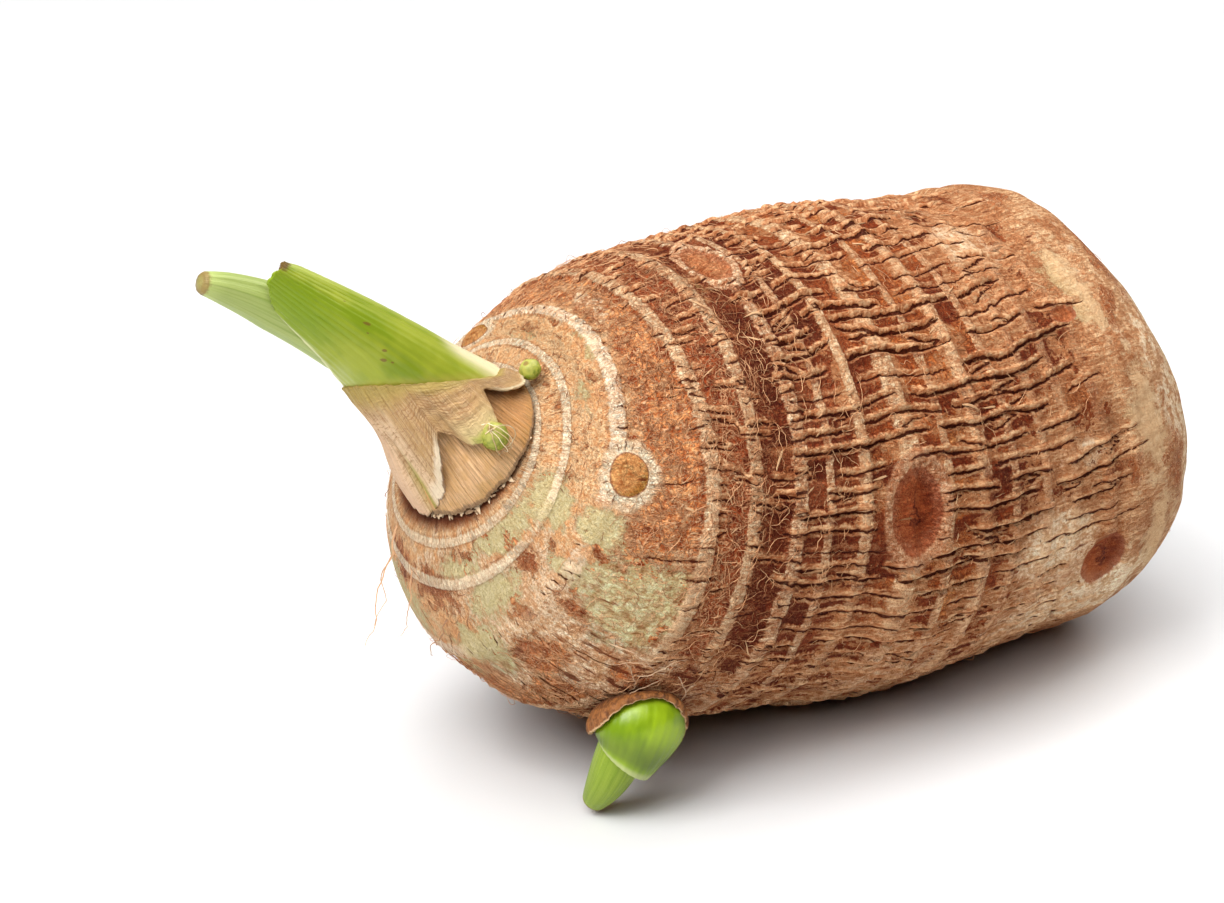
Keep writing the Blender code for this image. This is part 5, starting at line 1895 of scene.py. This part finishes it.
def lay_strands(name, paths, width, thickness, flat_side, material):
    """Strands along paths, one row of points each, with the flat side toward a direction."""
    count, stations = paths.shape[:2]
    strands = strand_copies(count, stations - 1)
    flat = read_points(strands.data)
    copy = np.rint(flat[:, 0] / COPY_SPACING).astype(int)
    station = np.rint(flat[:, 2]).astype(int)
    across, up = flat[:, 0] - copy * COPY_SPACING, flat[:, 1]
    ahead = unit(np.gradient(paths, axis=1))
    side = unit(np.cross(ahead, flat_side))
    over = np.cross(side, ahead)
    at = (copy, station)
    sideways = side[at] * (across * width[at])[:, None]
    placed = paths[at] + sideways + over[at] * (up * thickness[at])[:, None]
    strands.data.vertices.foreach_set("co", (placed * MM).ravel())
    put_on_points(strands.data, "tone", rng.uniform(0.0, 1.0, count)[copy])
    turn_faces_out()
    return finish_piece(strands, name, material, None)


def strand_material(name, light, dark):
    """Dry fibre; each strand has its own tone."""
    material, start = new_material(name)
    tone = attribute(start, "tone")
    grain = millimetres(start).cloud(1.2, 2.0, 0.6)
    colour = blend(light, dark, (tone + (grain - 0.5) * 0.6).rise(0.2, 0.9))
    return finish_material(material, colour, 0.8, grain, 0.0001, 0.2)


def skin_height(along, around):
    """Height of the finished skin without its finest grain."""
    sways = RINGS[:, 1] * np.cos(2.0 * np.radians(around[..., None] - RINGS[:, 2]))
    nearest = np.argmin(np.abs(along[..., None] - RINGS[:, 0]), axis=-1)
    row = along - np.take_along_axis(sways, nearest[..., None], axis=-1)[..., 0]
    return body_relief(along, around, row)


def skin_paths(along, around, heading, length, curl, low, arch, stations=STRAND_STEPS + 1):
    """Curly paths on the skin from their starts, headings, lengths and heights."""
    count = len(along)
    curl, low, arch = (np.broadcast_to(value, (count,))[:, None] for value in (curl, low, arch))
    turns = np.cumsum(rng.normal(0.0, 1.0, (count, stations)), axis=1) * curl
    heading = heading[:, None] + turns
    step = (length / (stations - 1))[:, None]
    ahead = np.cumsum(step * np.cos(heading), axis=1) - step * np.cos(heading)
    aside = np.cumsum(step * np.sin(heading), axis=1) - step * np.sin(heading)
    along = np.clip(along[:, None] + ahead, 3.0, BODY_LENGTH - 10.0)
    radius = section(along)[2]
    around = around[:, None] + np.degrees(aside / radius)
    t = np.linspace(0.0, 1.0, stations)[None, :]
    lift = low + arch * np.sin(math.pi * t)
    normal = outward(along, around)
    points = skin(along, around) + normal * (skin_height(along, around) + lift)[..., None]
    points[..., 2] = np.maximum(points[..., 2], STRAND_LIFT)
    return points, normal


print("strands of", STRAND_STEPS, "steps ready")

# %% Fibres on the skin
# Belt along the corm: from, to, number of fibres, length, how far they stand up.
CROWN_BELTS = (
    (181, 194, 1300, 3.6, 0.3), (167, 177, 1000, 4.4, 0.4), (156, 165, 650, 4.4, 0.4),
    (196, 214, 420, 3.6, 0.2),
)
BODY_BELTS = (
    (140, 153, 480, 4.2, 0.3), (98, 138, 380, 4.6, 0.3), (66, 98, 160, 4.6, 0.3),
    (4, 66, 70, 4.6, 0.2),
)


def skin_fibres(belts):
    """Starts and shapes of all fibres of some belts."""
    parts = []
    for low, high, number, length, stand in belts:
        along = rng.uniform(low, high, number)
        around = rng.uniform(0.0, 360.0, number)
        bare = strongest(along, around, BARE_SPOTS) + strongest(along, around, GREEN_SPOTS)
        near_bud = nearest_spot(along, around, BUDS, BUD_SIZES)[0]
        near_scar = nearest_spot(along, around, SCARS, SCAR_SIZES)[0]
        keep = (bare < rng.uniform(0.3, 1.3, number)) & (near_bud > 1.8) & (near_scar > 1.5)
        along, around = along[keep], around[keep]
        count = len(along)
        parts.append((
            along, around, rng.uniform(0.0, 2.0 * math.pi, count), length * rng.uniform(0.5, 1.6, count),
            rng.uniform(0.15, 0.65, count), rng.uniform(0.03, 0.16, count),
            stand * rng.uniform(0.1, 1.0, count) + 0.9 * (rng.random(count) < 0.04),
        ))
    return [np.concatenate(column) for column in zip(*parts)]


def make_fibres(name, belts, material):
    """All fibres of some belts as one piece."""
    paths, up = skin_paths(*skin_fibres(belts))
    taper = np.sin(math.pi * np.linspace(0.08, 0.92, STRAND_STEPS + 1)) ** 0.5
    width = rng.uniform(0.04, 0.08, len(paths))[:, None] * taper
    return lay_strands(name, paths, width, width, up, material)


fibre = strand_material("fibre", (0.66, 0.36, 0.18), (0.26, 0.085, 0.030))
make_fibres("crown_fibres", CROWN_BELTS, fibre)
make_fibres("body_fibres", BODY_BELTS, fibre)

# %% Slivers at the cracks
SLIVER_COUNT = 300
# Width of a sliver or flake at each of its stations, as a share of its widest.
SLIVER_TAPER = np.array((0.5, 1.0, 0.95, 0.8, 0.55, 0.15))
SLIVER_THICKNESS = 0.06


def lay_slivers(name, placed, widths, material):
    """Short flat strands that end in a point."""
    paths, up = placed
    width = rng.uniform(*widths, len(paths))[:, None] * SLIVER_TAPER
    return lay_strands(name, paths, width, np.full(width.shape, SLIVER_THICKNESS), up, material)


sliver_along = rng.uniform(72.0, 180.0, SLIVER_COUNT)
sliver_around = rng.uniform(0.0, 360.0, SLIVER_COUNT)
slivers = skin_paths(
    sliver_along, sliver_around,
    rng.normal(0.0, 0.5, SLIVER_COUNT) + math.pi * rng.integers(0, 2, SLIVER_COUNT),
    rng.uniform(2.0, 6.0, SLIVER_COUNT), 0.14, 0.0, rng.uniform(0.05, 0.4, SLIVER_COUNT),
    stations=len(SLIVER_TAPER),
)
sliver_tan = strand_material("sliver", (0.56, 0.33, 0.17), (0.24, 0.10, 0.04))
lay_slivers("skin_slivers", slivers, (0.1, 0.32), sliver_tan)

# %% Root hairs at the crown
# Place along, angle round, length, how far it stands out, sideways drift.
ROOT_HAIRS = (
    (217, 196, 33, 0.16, 0.05), (216, 190, 22, 0.10, -0.1), (214, 184, 15, 0.15, 0.1),
    (219, 205, 26, 0.25, 0.1), (204, 166, 14, 0.10, 0), (201, 162, 8, 0.2, 0.1),
)
HAIR_STATIONS = 22
HAIR_DROOP = 0.16
HAIR_SWAY = 0.30
HAIR_LIFT = 0.25


def hanging_paths():
    """Root hairs that leave the skin, bend down and curl."""
    along, around, length, out, drift = np.array(ROOT_HAIRS).T
    normal = outward(along, around)
    start = skin(along, around, skin_height(along, around) - 0.3)
    down = np.array((0.0, 0.0, -1.0))
    aside = unit(np.cross(normal, down))
    heading = unit(normal * out[:, None] + down * 0.5 + aside * drift[:, None])
    step = length / (HAIR_STATIONS - 1)
    points = [start]
    sway = rng.normal(0.0, 1.0, (HAIR_STATIONS, len(along), 3))
    for k in range(1, HAIR_STATIONS):
        heading = unit(heading + down * HAIR_DROOP + sway[k] * HAIR_SWAY)
        points.append(points[-1] + heading * step[:, None])
    paths = np.stack(points, axis=1)
    paths[..., 2] = np.maximum(paths[..., 2], HAIR_LIFT)
    return paths, np.broadcast_to(normal[:, None, :], paths.shape)


hairs, hair_up = hanging_paths()
hair_width = rng.uniform(0.14, 0.24, len(hairs))[:, None] * np.linspace(1.0, 0.35, HAIR_STATIONS)
hair_tan = strand_material("root_hair", (0.60, 0.36, 0.20), (0.36, 0.18, 0.09))
lay_strands("root_hairs", hairs, hair_width, hair_width, hair_up, hair_tan)

# %% [markdown]
# ## Flakes, threads and curls
#
# Where the husk tore, flakes of it are left on its rim and pale threads cross the low bud.
# Above the side shoot long curls of old leaf base stand off the skin. All of them are strands
# too, only wider or longer, so the functions of the fibres make them.

# %% Flakes at the husk's rim
FLAKES_FRONT = 54
FLAKES_ROUND = 30
FLAKE_COUNT = FLAKES_FRONT + FLAKES_ROUND
flake_around = np.concatenate((
    rng.uniform(58.0, 168.0, FLAKES_FRONT), rng.uniform(0.0, 360.0, FLAKES_ROUND),
))
flakes = skin_paths(
    HUSK_RIM_ALONG - 2.2 * cosd(flake_around - 30.0) + rng.uniform(0.0, 1.6, FLAKE_COUNT), flake_around,
    math.pi + rng.normal(0.0, 1.1, FLAKE_COUNT), rng.uniform(0.7, 2.2, FLAKE_COUNT), 0.2,
    rng.uniform(0.2, 0.9, FLAKE_COUNT), 0.2, stations=len(SLIVER_TAPER),
)
flake_tan = strand_material("flake", (0.66, 0.48, 0.30), (0.20, 0.115, 0.06))
lay_slivers("rim_flakes", flakes, (0.25, 0.75), flake_tan)

# %% Threads over the low bud
THREAD_COUNT = 5
THREAD_STATIONS = 14
THREADS_MIDDLE = low_middle + np.array((-0.2, -0.4, 1.3))


def thread_paths():
    """Arcs over the bud in its front half, each leaning to one side and a little uneven."""
    turn = np.radians(np.linspace(-70.0, 120.0, THREAD_STATIONS))[None, :, None]
    lean = np.radians(rng.uniform(-50.0, 60.0, THREAD_COUNT))[:, None, None]
    side = unit(np.cross(low_axis, np.array((0.0, -1.0, 0.2))))
    reach = rng.uniform(2.9, 3.5, THREAD_COUNT)[:, None, None]
    out = np.cross(side, low_axis) * np.cos(lean) + side * np.sin(lean)
    arcs = THREADS_MIDDLE + reach * (out * np.cos(turn) + low_axis * 1.2 * np.sin(turn))
    arcs = arcs + np.cumsum(rng.normal(0.0, 0.10, arcs.shape), axis=1)
    return arcs, np.broadcast_to(out, arcs.shape)


threads, thread_up = thread_paths()
thread_width = rng.uniform(0.08, 0.14, THREAD_COUNT)[:, None] * np.ones(THREAD_STATIONS)
thread_cream = strand_material("thread", (0.80, 0.66, 0.44), (0.56, 0.40, 0.22))
lay_strands("bud_threads", threads, thread_width, thread_width, thread_up, thread_cream)

# %% Long curls above the side shoot
# Place along, angle round and heading in radians of each curl.
CURL_STARTS = np.array((
    (186, 119, 3.3), (181, 123, 2.6), (177, 126, 3.6), (171, 127, 0.5),
    (168, 125, 2.4), (175, 122, 5.6), (164, 128, 1.2),
))
CURL_COUNT = len(CURL_STARTS)
CURL_STATIONS = 16
curl_paths, curl_up = skin_paths(
    *CURL_STARTS.T, rng.uniform(9.0, 16.0, CURL_COUNT), 0.26, 0.1,
    rng.uniform(0.5, 1.4, CURL_COUNT), stations=CURL_STATIONS,
)
curl_width = rng.uniform(0.10, 0.16, CURL_COUNT)[:, None] * np.linspace(1.0, 0.4, CURL_STATIONS)
curl_tan = strand_material("curl", (0.78, 0.58, 0.40), (0.55, 0.34, 0.20))
lay_strands("collar_curls", curl_paths, curl_width, curl_width, curl_up, curl_tan)
